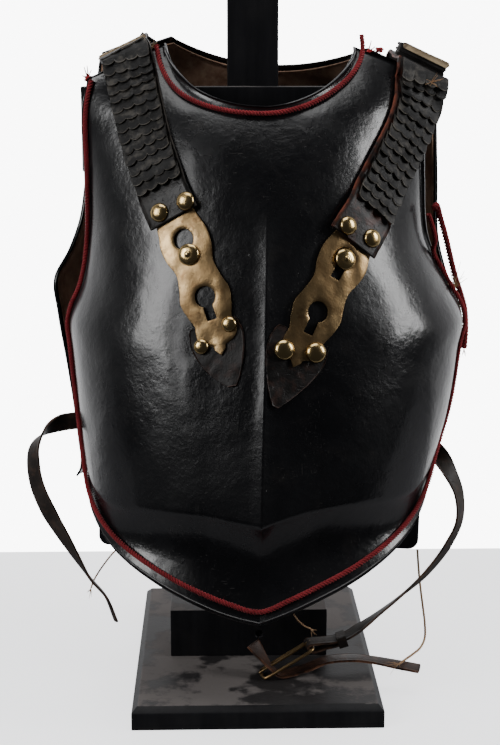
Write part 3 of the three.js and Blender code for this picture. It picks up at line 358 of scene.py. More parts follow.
# %% Blackened steel
steel = Finish("blackened_steel", Specular_IOR_Level=0.42, Coat_Weight=0.3, Coat_Roughness=0.12)
dull = steel.patchy(9.0, 0.46, 0.2)
rubbed = steel.patchy(48.0, 0.36, 0.1)
chips = steel.patchy(190.0, 0.27, 0.04)
marks = steel.group(scratches, Scale=1100.0, Amount=0.46)
black = steel.mix(dull, (0.0022, 0.0022, 0.0028), (0.0055, 0.0055, 0.0062))
for mask, share, tone in ((rubbed, 0.4, (0.013, 0.0115, 0.011)), (chips, 0.5, (0.03, 0.024, 0.02)),
                          (marks, 0.35, (0.07, 0.066, 0.062))):
    black = steel.mix(mask, black, tone, share)
steel.feed(Base_Color=black, Roughness=steel.between(dull, 0.23, 0.34))
steel.relief(55.0, 0.0010, 0.3)
steel.relief(210.0, 0.0006, 0.5)
steel.relief(620.0, 0.0002, 0.5, Cells=0.5)
steel.bump(chips, -0.0002, 0.5)
print("steel bump layers:", len(steel.heights))

# %% [markdown]
# ## The two plates
#
# The breastplate has a medial ridge that grows stronger towards the waist, a pinched waist and a
# flange that runs down to a point. A subdivided box could be pushed into that shape, but the part
# already says it as a table of cross sections, so the same table is read here on a much finer
# grid. The plates were hammered by hand, so both get slow waves a few tenths of a millimetre deep.

# %% Tables of the two plates, as in the part
# height, left, ridge, right, edge, reach, round, keel
CHEST = [
    (90, -145, 0.5, 150, -26, 128, 0.50, 1), (140, -145, 1.0, 150, -26, 130, 0.50, 4),
    (182, -147.5, 1.8, 153, -24, 131, 0.50, 8), (250, -155, 3.4, 172, -13, 134, 0.50, 7),
    (300, -160, 5.2, 180, -7, 130, 0.52, 6), (328, -161.5, 5.8, 184, -6, 124, 0.54, 5),
    (362, -148.5, 6.4, 166, -14, 110, 0.58, 4), (400, -142.5, 7.1, 147, -21, 94, 0.65, 3),
    (450, -141.5, 8.0, 142, -26, 74, 0.75, 0), (505, -143, 8.2, 141, -21, 50, 0.90, 0),
    (537, -138, 8.6, 143, -13, 28, 1.00, 0), (570, -145, 9.0, 146, -4, 8, 1.00, 0)]
# across, left, right
RIM = [(0.0, 98, 98), (0.15, 103, 106), (0.30, 110, 115), (0.60, 128, 134),
       (0.85, 148, 156), (0.96, 167, 176), (1.0, 187, 200)]
# height, half width, edge, reach, round
BACK = [
    (160, 160, 12, 84, 0.50), (176, 152, 11, 78, 0.50), (200, 154, 10, 78, 0.50),
    (260, 164, 6, 90, 0.50), (320, 176, 3, 104, 0.50), (350, 180, 4, 109, 0.50),
    (375, 169, 16, 103, 0.52), (405, 161, 27, 95, 0.55), (455, 157, 34, 85, 0.60),
    (520, 151, 34, 62, 0.75), (570, 146, 26, 34, 0.95)]
WALL = 2.0
GIRTH = 150.0  # millimetres round the body to a radian, for small distances from an edge
KEEL_FLANK = 46.0
NECK = dict(across=0.55, left=563, right=560, bottom=511, power_left=2.0, power_right=1.72, flare=5.0,
            band=11.0)
SHOULDER = dict(left=535, right=536)
ARMHOLE = dict(bottom=342, flare=3.5, band=9.0)
WAIST = dict(middle=84, side=22, dip=0.085, side_dip=0.03, flare=0.04)
NAPE = dict(across=0.6, corner=565, bottom=545, shoulder=541, flare=4.0, band=9.0)
TAIL = dict(middle=158, side=168)
HANG = dict(shift=3.0, pivot=350.0, roll=math.radians(3.3))


# %% Surfaces of the two plates
def chest_top(across):
    """Height of the top edge: the neck's curve in the middle, and a straight shoulder beyond it."""
    side = np.abs(across)
    corner = np.where(across < 0, NECK["left"], NECK["right"])
    shoulder = np.where(across < 0, SHOULDER["left"], SHOULDER["right"])
    outside = corner + (shoulder - corner) * (side - NECK["across"]) / (1 - NECK["across"])
    power = np.where(across < 0, NECK["power_left"], NECK["power_right"])
    s = np.clip(side / NECK["across"], 0, 1)
    inside = corner - (corner - NECK["bottom"]) * (1 - s ** power) ** (1 / power)
    return np.where(side >= NECK["across"], outside, inside)


def chest_rim(across):
    """Heights of the lower rim and of the waist above it."""
    rim = read_table(RIM, np.abs(across))
    low = np.where(across < 0, rim[..., 1], rim[..., 2])
    return low, low + WAIST["side"] + (WAIST["middle"] - WAIST["side"]) * (1 - across ** 2) ** 1.2


def chest_surface(across, height, pinched=True):
    """Points of the breastplate's outer face, in millimetres."""
    across = np.clip(across, -1, 1)
    angle = np.arcsin(across)
    section = read_table(CHEST, height)
    _, left, ridge, right, edge, reach, curve, keel = np.moveaxis(section, -1, 0)
    squeeze = 0.0
    if pinched:
        rim, belly = chest_rim(across)
        s = np.minimum((height - rim) / (belly - rim), 1)
        dip = WAIST["side_dip"] + WAIST["dip"] * (1 - across ** 2)
        squeeze = 4 * s * (1 - s) * dip - WAIST["flare"] * (1 - s) ** 2
    half = np.where(across < 0, ridge - left, right - ridge)
    x = ridge + across * half * (1 - 0.35 * squeeze)
    flank = np.maximum(1 - np.abs(x - ridge) / KEEL_FLANK, 0)
    bulge = np.maximum(1 - across ** 2, 0) ** curve
    y = edge - (reach * bulge + keel * flank ** 1.4) * (1 - squeeze)
    points = np.stack([x, y, height + 0 * x], -1)
    if pinched:
        near_top = np.maximum(1 - (chest_top(across) - height) / NECK["band"], 0) ** 2
        turn = np.where(np.abs(across) < NECK["across"], near_top * NECK["flare"], 0)
        in_hole = smoothstep(points[..., 2], ARMHOLE["bottom"] - 25, ARMHOLE["bottom"] + 25)
        from_side = (math.pi / 2 - np.abs(angle)) * GIRTH
        turn = turn + np.maximum(1 - from_side / ARMHOLE["band"], 0) ** 2 * ARMHOLE["flare"] * in_hole
        points = points + turn[..., None] * np.stack([np.sin(angle), -np.cos(angle), 0 * angle], -1)
    return points


def chest_at(x, height):
    """Point of the breastplate above the waist by X."""
    section = read_table(CHEST, height)
    half = section[2] - section[1] if x < section[2] else section[3] - section[2]
    return chest_surface(np.array((x - section[2]) / half), np.array(float(height)), pinched=False)


def back_top(across):
    """Height of the backplate's top edge."""
    side = np.abs(across)
    beyond = (side - NAPE["across"]) / (1 - NAPE["across"])
    outside = NAPE["corner"] + (NAPE["shoulder"] - NAPE["corner"]) * beyond
    inside = NAPE["bottom"] + (NAPE["corner"] - NAPE["bottom"]) * (side / NAPE["across"]) ** 2
    return np.where(side >= NAPE["across"], outside, inside)


def back_surface(across, height, turned=True):
    """Points of the backplate's outer face, with its nape turned out or not."""
    _, half, edge, reach, curve = np.moveaxis(read_table(BACK, height), -1, 0)
    bulge = np.maximum(1 - across ** 2, 0) ** curve
    points = np.stack([across * half, edge + reach * bulge, height + 0 * across], -1)
    if turned:
        near_top = np.maximum(1 - (back_top(across) - height) / NAPE["band"], 0) ** 2
        turn = np.where(np.abs(across) < NAPE["across"], near_top * NAPE["flare"], 0)
        angle = np.arcsin(np.clip(across, -1, 1))
        points = points + turn[..., None] * np.stack([np.sin(angle), np.cos(angle), 0 * angle], -1)
    return points


def hang_back(points):
    """The same points as the backplate hangs, a little askew on its straps."""
    x, y, z = np.moveaxis(points, -1, 0)
    up = z - HANG["pivot"]
    cosine, sine = math.cos(HANG["roll"]), math.sin(HANG["roll"])
    return np.stack([x * cosine + up * sine + HANG["shift"], y, HANG["pivot"] - x * sine + up * cosine], -1)


print("ridge at belly:", np.round(chest_surface(np.array(0.0), np.array(182.0)), 1))

# %% Breastplate and backplate
OUT_OF_CHEST, OUT_OF_BACK = -40.0, 40.0  # which way a plate's outer face looks


def away(points, forward):
    """Rough directions out of a plate, which tell its outer side from its inner one."""
    return np.stack([points[..., 0] * 0.6, np.full(points.shape[:-1], forward), 0 * points[..., 0]], -1)


# The hammered line along the medial ridge, and the heights between which it starts and fades.
RIDGE = dict(height=1.7, flank=12.0, sharp=1.8, starts=(165, 190), fades=(385, 455))
# Columns crowd towards the ridge and the sides, and rows towards the top and the rim.
CROWD = dict(ridge=1.35, sides=1.12, rows=0.06)
# Hammer waves: depth, size and seed. They die away in the outer share of the plate.
HAMMERED = ((0.45, 34.0, 3.1), (0.16, 13.0, 8.4))
CALM_EDGE = 0.06


def build_breastplate(columns=181, rows=170):
    side = np.linspace(-1, 1, columns)
    spread = np.abs(side) ** CROWD["ridge"]
    across = np.sin(np.pi / 2 * np.sign(side) * (1 - (1 - spread) ** CROWD["sides"]))
    rim, _ = chest_rim(across)
    up = np.linspace(0, 1, rows)[:, None]
    up = up + CROWD["rows"] * np.sin(2 * np.pi * up) / (2 * np.pi)
    height = rim + (chest_top(across) - rim) * up
    outer = chest_surface(np.broadcast_to(across, height.shape), height)
    normals = grid_normals(outer, away(outer, OUT_OF_CHEST))
    wave = sum(depth * wobble(outer, size, seed) for depth, size, seed in HAMMERED)
    middle = smoothstep(np.minimum(up, 1 - up), 0.0, CALM_EDGE)
    outer = outer + normals * (wave * middle)[..., None]
    aside = np.abs(outer[..., 0] - read_table(CHEST, height)[..., 2])
    here = smoothstep(height, *RIDGE["starts"]) * (1 - smoothstep(height, *RIDGE["fades"]))
    crease = RIDGE["height"] * np.maximum(1 - aside / RIDGE["flank"], 0) ** RIDGE["sharp"] * here
    outer = outer + normals * crease[..., None]
    return wall_object("breastplate_shell", outer, outer - normals * WALL, steel.material)


def build_back(name, count, side_inset, end_inset, depth, thickness, material):
    """A shell or lining in the shape of the backplate, a depth inside its outer face."""
    angle = (np.pi / 2) * (1 - side_inset) * np.linspace(-1, 1, count)
    across = np.sin(angle)
    up = np.linspace(0, 1, count)[:, None]
    tail = TAIL["middle"] + (TAIL["side"] - TAIL["middle"]) * across ** 6
    height = tail + end_inset + (back_top(across) - tail - 2 * end_inset) * up
    surface = back_surface(np.broadcast_to(across, height.shape), height)
    normals = grid_normals(surface, away(surface, OUT_OF_BACK))
    surface = surface + normals * (0.4 * wobble(surface, 36.0, 5.7))[..., None]
    outer, inner = surface - normals * depth, surface - normals * (depth + thickness)
    lengths = np.stack(np.meshgrid(angle * GIRTH, up[:, 0] * 400), -1) * MM
    return wall_object(name, hang_back(outer), hang_back(inner), material, uvs=lengths)


place(build_breastplate(), "blackened_steel", "breastplate")
place(build_back("backplate_shell", 120, 0, 0, 0.0, WALL, steel.material), "blackened_steel", "backplate")

# %% [markdown]
# ## Routes and tracks
#
# Cords, straps and belts all follow smooth curves through a few listed points. The curve is
# the centripetal Catmull-Rom kind that the part uses, so the fine pieces lie exactly where the
# CAD solids are. A track is such a curve with an outward direction, and a point on a strap is
# given by how far along it is, how far sideways and how high above the plate.

# %% Smooth routes
def smooth_route(points, count):
    """Points at even steps of the curve's parameter, and that parameter in stations."""
    p = np.asarray(points, float)
    p = np.concatenate([[2 * p[0] - p[1]], p, [2 * p[-1] - p[-2]]])
    t = np.linspace(0, len(points) - 1, count)
    i = np.minimum(t.astype(int), len(points) - 2)
    w = (t - i)[:, None]
    p0, p1, p2, p3 = (p[i + k] for k in range(4))
    d0, d1, d2 = (np.sqrt(np.linalg.norm(b - a, axis=1, keepdims=True))
                  for a, b in ((p0, p1), (p1, p2), (p2, p3)))
    m1 = ((p1 - p0) / d0 - (p2 - p0) / (d0 + d1) + (p2 - p1) / d1) * d1
    m2 = ((p2 - p1) / d1 - (p3 - p1) / (d1 + d2) + (p3 - p2) / d2) * d1
    a, b = -3 * p1 + 3 * p2 - 2 * m1 - m2, 2 * p1 - 2 * p2 + m1 + m2
    return p1 + w * (m1 + w * (a + w * b)), t


def lengths_along(points):
    """Distance of each point from the first, along the line."""
    return np.concatenate([[0], np.cumsum(np.linalg.norm(np.diff(points, axis=0), axis=1))])


def even_route(points, spacing):
    """The smooth route as points about spacing apart, and its length."""
    fine, _ = smooth_route(points, 60 * len(points))
    at = lengths_along(fine)
    steps = np.linspace(0, at[-1], max(int(at[-1] / spacing), 4))
    return rows_at(steps, at, fine), at[-1]


class Track:
    """A strap's line from the tip of its tab, up the chest, over the shoulder and down the back."""

    def __init__(self, stations, origin=3):
        at, out = (np.array(column, float) for column in zip(*stations))
        self.points, t = smooth_route(at, 4000)
        along = unit(-np.gradient(self.points, axis=0))
        self.side = unit(np.cross(rows_at(t, np.arange(len(out)), out), along))
        self.out = np.cross(along, self.side)
        self.lengths = lengths_along(self.points)
        self.zero = np.interp(origin, t, self.lengths)
        self.end = self.zero - self.lengths[-1]

    def place(self, distance, sideways, height):
        """Points from arrays of distance along, sideways and height."""
        distance, sideways, height = np.broadcast_arrays(distance, sideways, height)
        s = np.clip(self.zero - distance, 0, self.lengths[-1])
        at, side, out = (rows_at(s, self.lengths, rows) for rows in (self.points, self.side, self.out))
        return at + side * sideways[..., None] + out * height[..., None]

    def crest(self, depth):
        """Distance at which the track passes a depth on its way over the shoulder."""
        inside = np.argmax((self.points[:, 1] > depth) & (self.lengths > self.zero))
        return self.zero - self.lengths[inside]


def on_chest(x, z):
    """A station of a track on the breastplate: the point and the direction out of the plate."""
    step_x = chest_at(x + 1, z) - chest_at(x - 1, z)
    step_z = chest_at(x, z + 1) - chest_at(x, z - 1)
    out = unit(np.cross(step_x, step_z))
    return chest_at(x, z), out if out[1] < 0 else -out


def on_back(x, z):
    """A station of a track on the backplate."""
    def at(px, pz):
        half = read_table(BACK, float(pz))[1]
        return hang_back(back_surface(np.array(px / half), np.array(float(pz)), turned=False))
    out = unit(np.cross(at(x + 1, z) - at(x - 1, z), at(x, z + 1) - at(x, z - 1)))
    return at(x, z), out if out[1] > 0 else -out


def strap_track(chest, shoulder, back):
    """A track through places (x, z) on both plates, and free stations over the shoulder between."""
    return Track([on_chest(*p) for p in chest] + shoulder + [on_back(*p) for p in back])


LEFT_TRACK = strap_track(
    [(-23.5, 290), (-32, 331), (-42, 362), (-58.5, 405.7), (-76.5, 446), (-88, 476), (-97, 508), (-103, 531)],
    [((-106, -22.8, 544), (-0.25, -0.9, 0.4)), ((-107.5, -19.5, 551), (-0.35, -0.6, 0.75)),
     ((-110, -8, 554.5), (-0.42, -0.15, 0.9)), ((-111.5, 10, 555.6), (-0.42, -0.05, 0.9)),
     ((-112, 28, 558.8), (-0.42, 0, 0.9)), ((-112, 42, 560.3), (-0.4, 0.35, 0.85)),
     ((-112.5, 53, 556.5), (-0.35, 0.8, 0.5))],
    [(-113, 540), (-110, 515), (-106, 485), (-103, 455)])
RIGHT_TRACK = strap_track(
    [(13, 276), (33, 320), (46.8, 348.6), (70, 390.7), (92.5, 426), (110, 456), (125, 488), (133.5, 512)],
    [((138, -21, 530), (0.3, -0.9, 0.4)), ((139.5, -17.5, 539), (0.38, -0.6, 0.75)),
     ((141.5, -4, 540.8), (0.4, -0.15, 0.9)), ((141.5, 14, 541.8), (0.4, -0.05, 0.91)),
     ((140.5, 30, 543), (0.4, 0, 0.91)), ((139.5, 44, 545.3), (0.4, 0.35, 0.85)),
     ((138.5, 54, 543), (0.4, 0.8, 0.5))],
    [(134, 525), (126, 500), (117, 475), (110, 447)])
print("strap tracks (mm):", round(LEFT_TRACK.lengths[-1]), round(RIGHT_TRACK.lengths[-1]))

# %% [markdown]
# ## Geometry Nodes for cord and fibres
#
# A wool cord is strands laid round each other. Sweeping a profile of small circles along a
# route, and tilting it by an amount that grows with the length, gives exactly that lay. Loose
# fibres then stand off the surface: points are scattered over the mesh, and a tiny curved hair
# is set on each. Each tree has named inputs, the fibres have a fixed seed, and both end in real
# geometry with its material.

# %% Twisted cord tree
def mesh_group(name, *inputs):
    """A Geometry Nodes tree with its inputs and a material, and the sockets inside it."""
    tree = bpy.data.node_groups.new(name, "GeometryNodeTree")
    tree.interface.new_socket("Geometry", in_out="INPUT", socket_type="NodeSocketGeometry")
    add_inputs(tree, [*inputs, ("Material", MATERIAL, None)])
    tree.interface.new_socket("Geometry", in_out="OUTPUT", socket_type="NodeSocketGeometry")
    return tree, tree.nodes.new("NodeGroupInput").outputs, tree.nodes.new("NodeGroupOutput").inputs[0]


def end_in_mesh(tree, geometry, given, result):
    """The last steps of a tree: real geometry, with its material."""
    real = add_node(tree, "GeometryNodeRealizeInstances", {"Geometry": geometry})
    painted = add_node(tree, "GeometryNodeSetMaterial", {
        "Geometry": real.outputs[0], "Material": given["Material"]})
    tree.links.new(painted.outputs[0], result)
    print("tree:", tree.name, "nodes:", len(tree.nodes))


cord_tree, given, result = mesh_group(
    "TwistedCord", ("Radius", FLOAT, 0.0023), ("Pitch", FLOAT, 0.009), ("Strands", INT, 3))
step = add_node(cord_tree, "GeometryNodeSplineParameter")
turns = math_node(cord_tree, "DIVIDE", step.outputs["Length"], given["Pitch"])
tilt = add_node(cord_tree, "GeometryNodeSetCurveTilt", {
    "Curve": given["Geometry"], "Tilt": math_node(cord_tree, "MULTIPLY", turns, 2 * math.pi)})
centres = add_node(cord_tree, "GeometryNodeMeshCircle", {
    "Vertices": given["Strands"], "Radius": math_node(cord_tree, "MULTIPLY", given["Radius"], 0.47)})
round_strand = add_node(cord_tree, "GeometryNodeCurvePrimitiveCircle", {"Resolution": 8})
strand_radius = math_node(cord_tree, "MULTIPLY", given["Radius"], 0.55)
cord_tree.links.new(strand_radius, round_strand.inputs["Radius"])
strands = add_node(cord_tree, "GeometryNodeInstanceOnPoints", {
    "Points": centres.outputs["Mesh"], "Instance": round_strand.outputs["Curve"]})
profile = add_node(cord_tree, "GeometryNodeRealizeInstances", {"Geometry": strands.outputs[0]})
swept = add_node(cord_tree, "GeometryNodeCurveToMesh", {
    "Curve": tilt.outputs[0], "Profile Curve": profile.outputs[0], "Fill Caps": True})
smooth = add_node(cord_tree, "GeometryNodeSetShadeSmooth", {"Geometry": swept.outputs[0]})
end_in_mesh(cord_tree, smooth.outputs[0], given, result)

# %% Fibre tree
fibre_tree, given, result = mesh_group(
    "Fibres", ("Density", FLOAT, 60000.0), ("Length", FLOAT, 0.0022), ("Thickness", FLOAT, 0.00005),
    ("Seed", INT, 4))
scatter = add_node(fibre_tree, "GeometryNodeDistributePointsOnFaces", {
    "Mesh": given["Geometry"], "Density": given["Density"], "Seed": given["Seed"]})
bend = add_node(fibre_tree, "GeometryNodeCurveQuadraticBezier", {
    "Resolution": 3, "Start": (0, 0, 0), "Middle": (0.1, 0.15, 0.75), "End": (0.55, 0.1, 1.0)})
needle = add_node(fibre_tree, "GeometryNodeCurvePrimitiveCircle", {"Resolution": 3})
thin = math_node(fibre_tree, "DIVIDE", given["Thickness"], given["Length"])
fibre_tree.links.new(thin, needle.inputs["Radius"])
hair = add_node(fibre_tree, "GeometryNodeCurveToMesh", {
    "Curve": bend.outputs[0], "Profile Curve": needle.outputs["Curve"], "Fill Caps": True})
spin = add_node(fibre_tree, "FunctionNodeRandomValue", {
    0: (-0.7, -0.7, -3.1), 1: (0.7, 0.7, 3.1)}, data_type="FLOAT_VECTOR")
turned = add_node(fibre_tree, "FunctionNodeRotateRotation", {
    "Rotation": scatter.outputs["Rotation"], "Rotate By": spin.outputs[0]}, rotation_space="LOCAL")
grow = add_node(fibre_tree, "FunctionNodeRandomValue", {2: 0.35, 3: 1.0}, data_type="FLOAT")
size = math_node(fibre_tree, "MULTIPLY", grow.outputs[1], given["Length"])
hairs = add_node(fibre_tree, "GeometryNodeInstanceOnPoints", {
    "Points": scatter.outputs["Points"], "Instance": hair.outputs[0],
    "Rotation": turned.outputs[0], "Scale": size})
end_in_mesh(fibre_tree, hairs.outputs[0], given, result)


# %% Growing meshes from the trees
def grown(obj, tree, name, **inputs):
    """The plain mesh object that a tree grows from obj, which stays as it is."""
    modifier = obj.modifiers.new(tree.name, "NODES")
    modifier.node_group = tree
    sockets = {s.name: s.identifier for s in tree.interface.items_tree if s.in_out == "INPUT"}
    for label, value in inputs.items():
        modifier[sockets[label]] = value
    bpy.context.view_layer.update()
    seen = obj.evaluated_get(bpy.context.evaluated_depsgraph_get())
    mesh = bpy.data.meshes.new_from_object(seen)
    obj.modifiers.remove(modifier)
    return new_object(name, mesh)


def poly_curve(name, points):
    """A curve object of straight steps through points in millimetres."""
    curve = bpy.data.curves.new(name, "CURVE")
    curve.dimensions = "3D"
    spline = curve.splines.new("POLY")
    spline.points.add(len(points) - 1)
    spline.points.foreach_set("co", np.concatenate([points * MM, np.ones((len(points), 1))], 1).ravel())
    return new_object(name, curve)


def grown_along(name, points, tree, **inputs):
    """What a tree grows along a line of points."""
    line = poly_curve(name + "_line", points)
    made = grown(line, tree, name, **inputs)
    bpy.data.objects.remove(line)
    return made


def join(name, objects):
    """One object from several meshes."""
    bpy.ops.object.select_all(action="DESELECT")
    for o in objects:
        o.select_set(True)
    bpy.context.view_layer.objects.active = objects[0]
    bpy.ops.object.join()
    objects[0].name = name
    print("joined", name, "from", len(objects), "pieces:", len(objects[0].data.polygons), "faces")
    return objects[0]


def twisted(name, points, diameter, pitch, material, fuzz=None, spacing=1.0):
    """A cord of three strands along a route, and its points and length in millimetres.

    fuzz gives the fibres that stand off it: how many to a square metre, and how long they are.
    """
    route, length = even_route(points, spacing)
    rope = grown_along(name, route, cord_tree, Radius=diameter / 2 * MM, Pitch=pitch * MM, Strands=3,
                       Material=material)
    if fuzz:
        fibres = grown(rope, fibre_tree, name + "_fibres", Density=fuzz[0], Length=fuzz[1] * MM,
                       Thickness=0.045 * MM, Seed=4, Material=material)
        rope = join(name, [rope, fibres])
    return rope, route, length

# %% [markdown]
# ## Red cord edging
#
# The plates are edged with a crimson wool cord, so that they do not rub on cloth. Wool has no
# gloss, only a soft sheen at grazing light, and its colour changes from strand to strand as it
# fades and picks up grease. The colour therefore comes from noise at two sizes, and the shader
# has a little sheen.

# %% Wool and twine
wool = Finish("red_wool", Roughness=0.95, Sheen_Weight=0.25, Specular_IOR_Level=0.15)
wool.shader.inputs["Sheen Tint"].default_value = (1.0, 0.5, 0.5, 1.0)
red = wool.mix(wool.patchy(60.0, 0.5, 0.25), (0.15, 0.009, 0.013), (0.26, 0.022, 0.028))
wool.feed(Base_Color=wool.mix(wool.patchy(22.0, 0.36, 0.12), red, (0.085, 0.008, 0.011)))
wool.relief(1500.0, 0.0003, 0.6)

flax = Finish("tan_twine", Roughness=0.9, Specular_IOR_Level=0.2)
flax.feed(Base_Color=flax.mix(flax.patchy(90.0, 0.5, 0.2), (0.30, 0.17, 0.09), (0.52, 0.36, 0.22)))
flax.relief(1800.0, 0.0003, 0.6)

# %% Cord routes, as in the part
CORD = dict(diameter=4.6, neck_inset=6, rim_inset=9, side_inset=3, hole_inset=10, clear=2.0, free=12,
            power_left=2.4, power_right=1.8)
CORD_SINK = 1.7  # the wool beds down on the plate more than its smooth solid does


def lifted(across, height, lift):
    """Point above the breastplate's outer face."""
    def at(a, h):
        return chest_surface(np.array(a), np.array(float(h)))
    out = unit(np.cross(at(across + 0.004, height) - at(across - 0.004, height),
                        at(across, height + 1) - at(across, height - 1)))
    point = at(across, height)
    if out @ away(point, OUT_OF_CHEST) < 0:
        out = -out
    return point + out * lift


def inset_cosine(z):
    """Place across the breastplate at which the cord runs up its side."""
    in_hole = smoothstep(z, ARMHOLE["bottom"] - 30, ARMHOLE["bottom"] + 20)
    return math.cos((CORD["side_inset"] + (CORD["hole_inset"] - CORD["side_inset"]) * in_hole) / GIRTH)


lift = CORD["diameter"] / 2 + CORD["clear"] - CORD_SINK
neck_route = []
for k in range(-10, 11):
    s = math.sin(math.pi / 2 * k / 10)
    top = (NECK["left"] if s < 0 else NECK["right"]) - 4
    power = CORD["power_left"] if s < 0 else CORD["power_right"]
    drop = (top - NECK["bottom"] + CORD["neck_inset"]) * max(1 - abs(s) ** power, 0) ** (1 / power)
    neck_route.append(lifted(NECK["across"] * 1.1 * s, top - drop, lift))
neck_route.append(neck_route[-1] + np.array([-1, 2, CORD["free"]]))

edge_route = [lifted(-inset_cosine(z), z, lift) for z in range(531, 215, -16)]
for k in range(-9, 10):
    across = math.sin(1.49 * k / 9)
    edge_route.append(lifted(across, chest_rim(np.array(across))[0] + CORD["rim_inset"], lift))
edge_route += [lifted(inset_cosine(z), z, lift) for z in range(225, 395, 16)]
edge_route += [np.array(p, float) for p in ((155.5, -29, 397), (151.5, -34, 411), (148, -37, 420))]

LOOSE_ROUTE = [(152.5, -38, 425), (155, -35, 427), (159, -29, 417), (166, -20, 398), (172.5, -12, 377),
               (178, -6, 360), (184, -1, 345), (188, 1, 332), (189.5, 1, 315), (188.5, 0, 296)]

for name, route, fuzz in (("neck_cord", neck_route, (55000, 2.4)), ("edge_cord", edge_route, (40000, 2.2))):
    place(twisted(name + "_laid", route, 4.5, 8, wool.material, fuzz)[0], "red_wool", name)
loose_cord, loose_path, loose_length = twisted("loose_cord_laid", LOOSE_ROUTE, 5.8, 10, wool.material)
place(loose_cord, "red_wool", "loose_cord")
print("loose cord (mm):", round(loose_length))

# %% Twines that hang at the two sides
RIGHT_TWINE = [(149, -14, 112), (150.2, -15, 96), (152, -17, 78), (154.3, -20, 60), (156, -25, 44),
               (155, -33, 34), (150, -43, 29), (142, -55, 28), (134, -67, 28.3), (126.5, -78, 28.2)]
LEFT_TWINE = [(-124, -1, 112), (-131, 0, 104), (-137, 1, 96), (-143, 2, 87), (-147.5, 3, 79),
              (-150.5, 4, 71)]
SHORT_THREAD = [(29, -146, 102), (33, -147, 96.5), (38, -147, 92), (43, -148, 90)]
for name, points, diameter, lay in (("right_twine", RIGHT_TWINE, 1.6, "loose"),
                                    ("left_twine", LEFT_TWINE, 1.2, "hanging")):
    # three strands fill less than the circle round them, so they are swept on a wider one
    line, path, length = twisted(name + "_laid", points, 1.4 * diameter, 7, flax.material, spacing=0.7)
    place(line, "twine", name)
    print(name, "(mm):", round(length))
thread = twisted("short_thread_laid", SHORT_THREAD, 1.3, 5, flax.material, spacing=0.6)[0]
place(thread, "twine", "short_thread")

# %% [markdown]
# ## Leather
#
# The leathers are black ones for scales, tabs and the left strap, dark brown ones for the right
# strap and the belts, a brown lining and a pale torn one on the shoulders. They share one recipe.
# A UV map runs across and along each piece, so its cut edges are known, and there the dye has
# worn through to red-brown hide. On the scales the lower edges are pale instead, partly wear and
# partly a painted glint. Pebble grain and creases are bump, at the real size of about half a
# millimetre.

# %% Leather recipe
def leather(name, dark, light, wear_and_glint, rough=(0.42, 0.62), gloss=0.28, edge=0.5, edge_side=0, tip=0.0,
            pebble=650.0, fade=0.5):
    """A leather material between two colours, rubbed to a worn one.

    edge and tip say how much of the sides and of the lower end turns to the wear colour. That is
    rubbed wear, and on the scales, where that colour is pale, also a painted glint. edge_side is -1 or 1
    where only the left or the right side is, and 0 for both.
    """
    finish = Finish(name, Specular_IOR_Level=gloss)
    clouds = finish.patchy(38.0, fade, 0.22)
    uv = add_node(finish.tree, "ShaderNodeUVMap", uv_map="UVMap").outputs[0]
    u, v, _ = add_node(finish.tree, "ShaderNodeSeparateXYZ", {0: uv}).outputs
    across = finish.math("MULTIPLY", u, float(edge_side)) if edge_side else finish.math("ABSOLUTE", u)
    border = finish.math("MULTIPLY", finish.math("SUBTRACT", across, 1 - edge * 0.25), 9.0, clamp=True)
    # The lower end turns to the wear colour: rubbed wear, and on the scales also a painted glint along each
    # lobe's edge.
    if tip:
        end = finish.math("MULTIPLY", finish.math("SUBTRACT", v, 1 - tip), 22.0, clamp=True)
        border = finish.math("MAXIMUM", border, end)
    border = finish.math("MULTIPLY", border, finish.patchy(75.0, 0.52, 0.12))
    color = finish.mix(clouds, dark, light)
    color = finish.mix(finish.patchy(120.0, 0.42, 0.1), color, wear_and_glint, 0.3)
    finish.feed(Base_Color=finish.mix(border, color, wear_and_glint), Roughness=finish.between(clouds, *rough))
    finish.relief(pebble, 0.0004, 0.55, Cells=0.6)
    finish.relief(95.0, 0.0012, 0.4)
    finish.bump(finish.group(scratches, Scale=420.0, Amount=0.55), -0.0003, 0.7)
    return finish.material


# The scales' pale edge colour, on the lower edge of each lobe, is partly wear and partly a painted glint.
scale_leather = leather("scale_leather", (0.003, 0.0028, 0.0027), (0.008, 0.0075, 0.0072),
                        (0.15, 0.135, 0.115), rough=(0.4, 0.56), gloss=0.24, edge=0.15, tip=0.05)
black_leather = leather("black_leather", (0.005, 0.0045, 0.0045), (0.014, 0.013, 0.012),
                        (0.05, 0.042, 0.035), rough=(0.36, 0.55), edge=0.3)
tab_leather = leather("tab_leather", (0.005, 0.0045, 0.0042), (0.014, 0.012, 0.0115), (0.06, 0.028, 0.02),
                      rough=(0.38, 0.55), edge=0.25, tip=0.03)
strap_leather = leather("strap_leather", (0.006, 0.005, 0.005), (0.015, 0.012, 0.011), (0.17, 0.045, 0.025),
                        rough=(0.38, 0.55), edge=0.4, edge_side=-1)
belt_leather = leather("belt_leather", (0.009, 0.0065, 0.005), (0.026, 0.018, 0.014), (0.085, 0.045, 0.028),
                       rough=(0.42, 0.62))
russet_leather = leather("russet_leather", (0.014, 0.008, 0.006), (0.045, 0.02, 0.012),
                         (0.15, 0.065, 0.035))
lining_leather = leather("lining_leather", (0.15, 0.08, 0.05), (0.34, 0.21, 0.14), (0.42, 0.3, 0.2),
                         rough=(0.7, 0.9), pebble=400.0, fade=0.45)
tan_leather = leather("tan_leather", (0.2, 0.14, 0.085), (0.45, 0.35, 0.22), (0.06, 0.04, 0.03),
                      rough=(0.6, 0.85), fade=0.6)

# %% Lining of the backplate
lining = build_back("backplate_lining_hide", 90, 0.035, 4, WALL + 1.0, 1.5, lining_leather)
place(lining, "lining_leather", "backplate_lining")

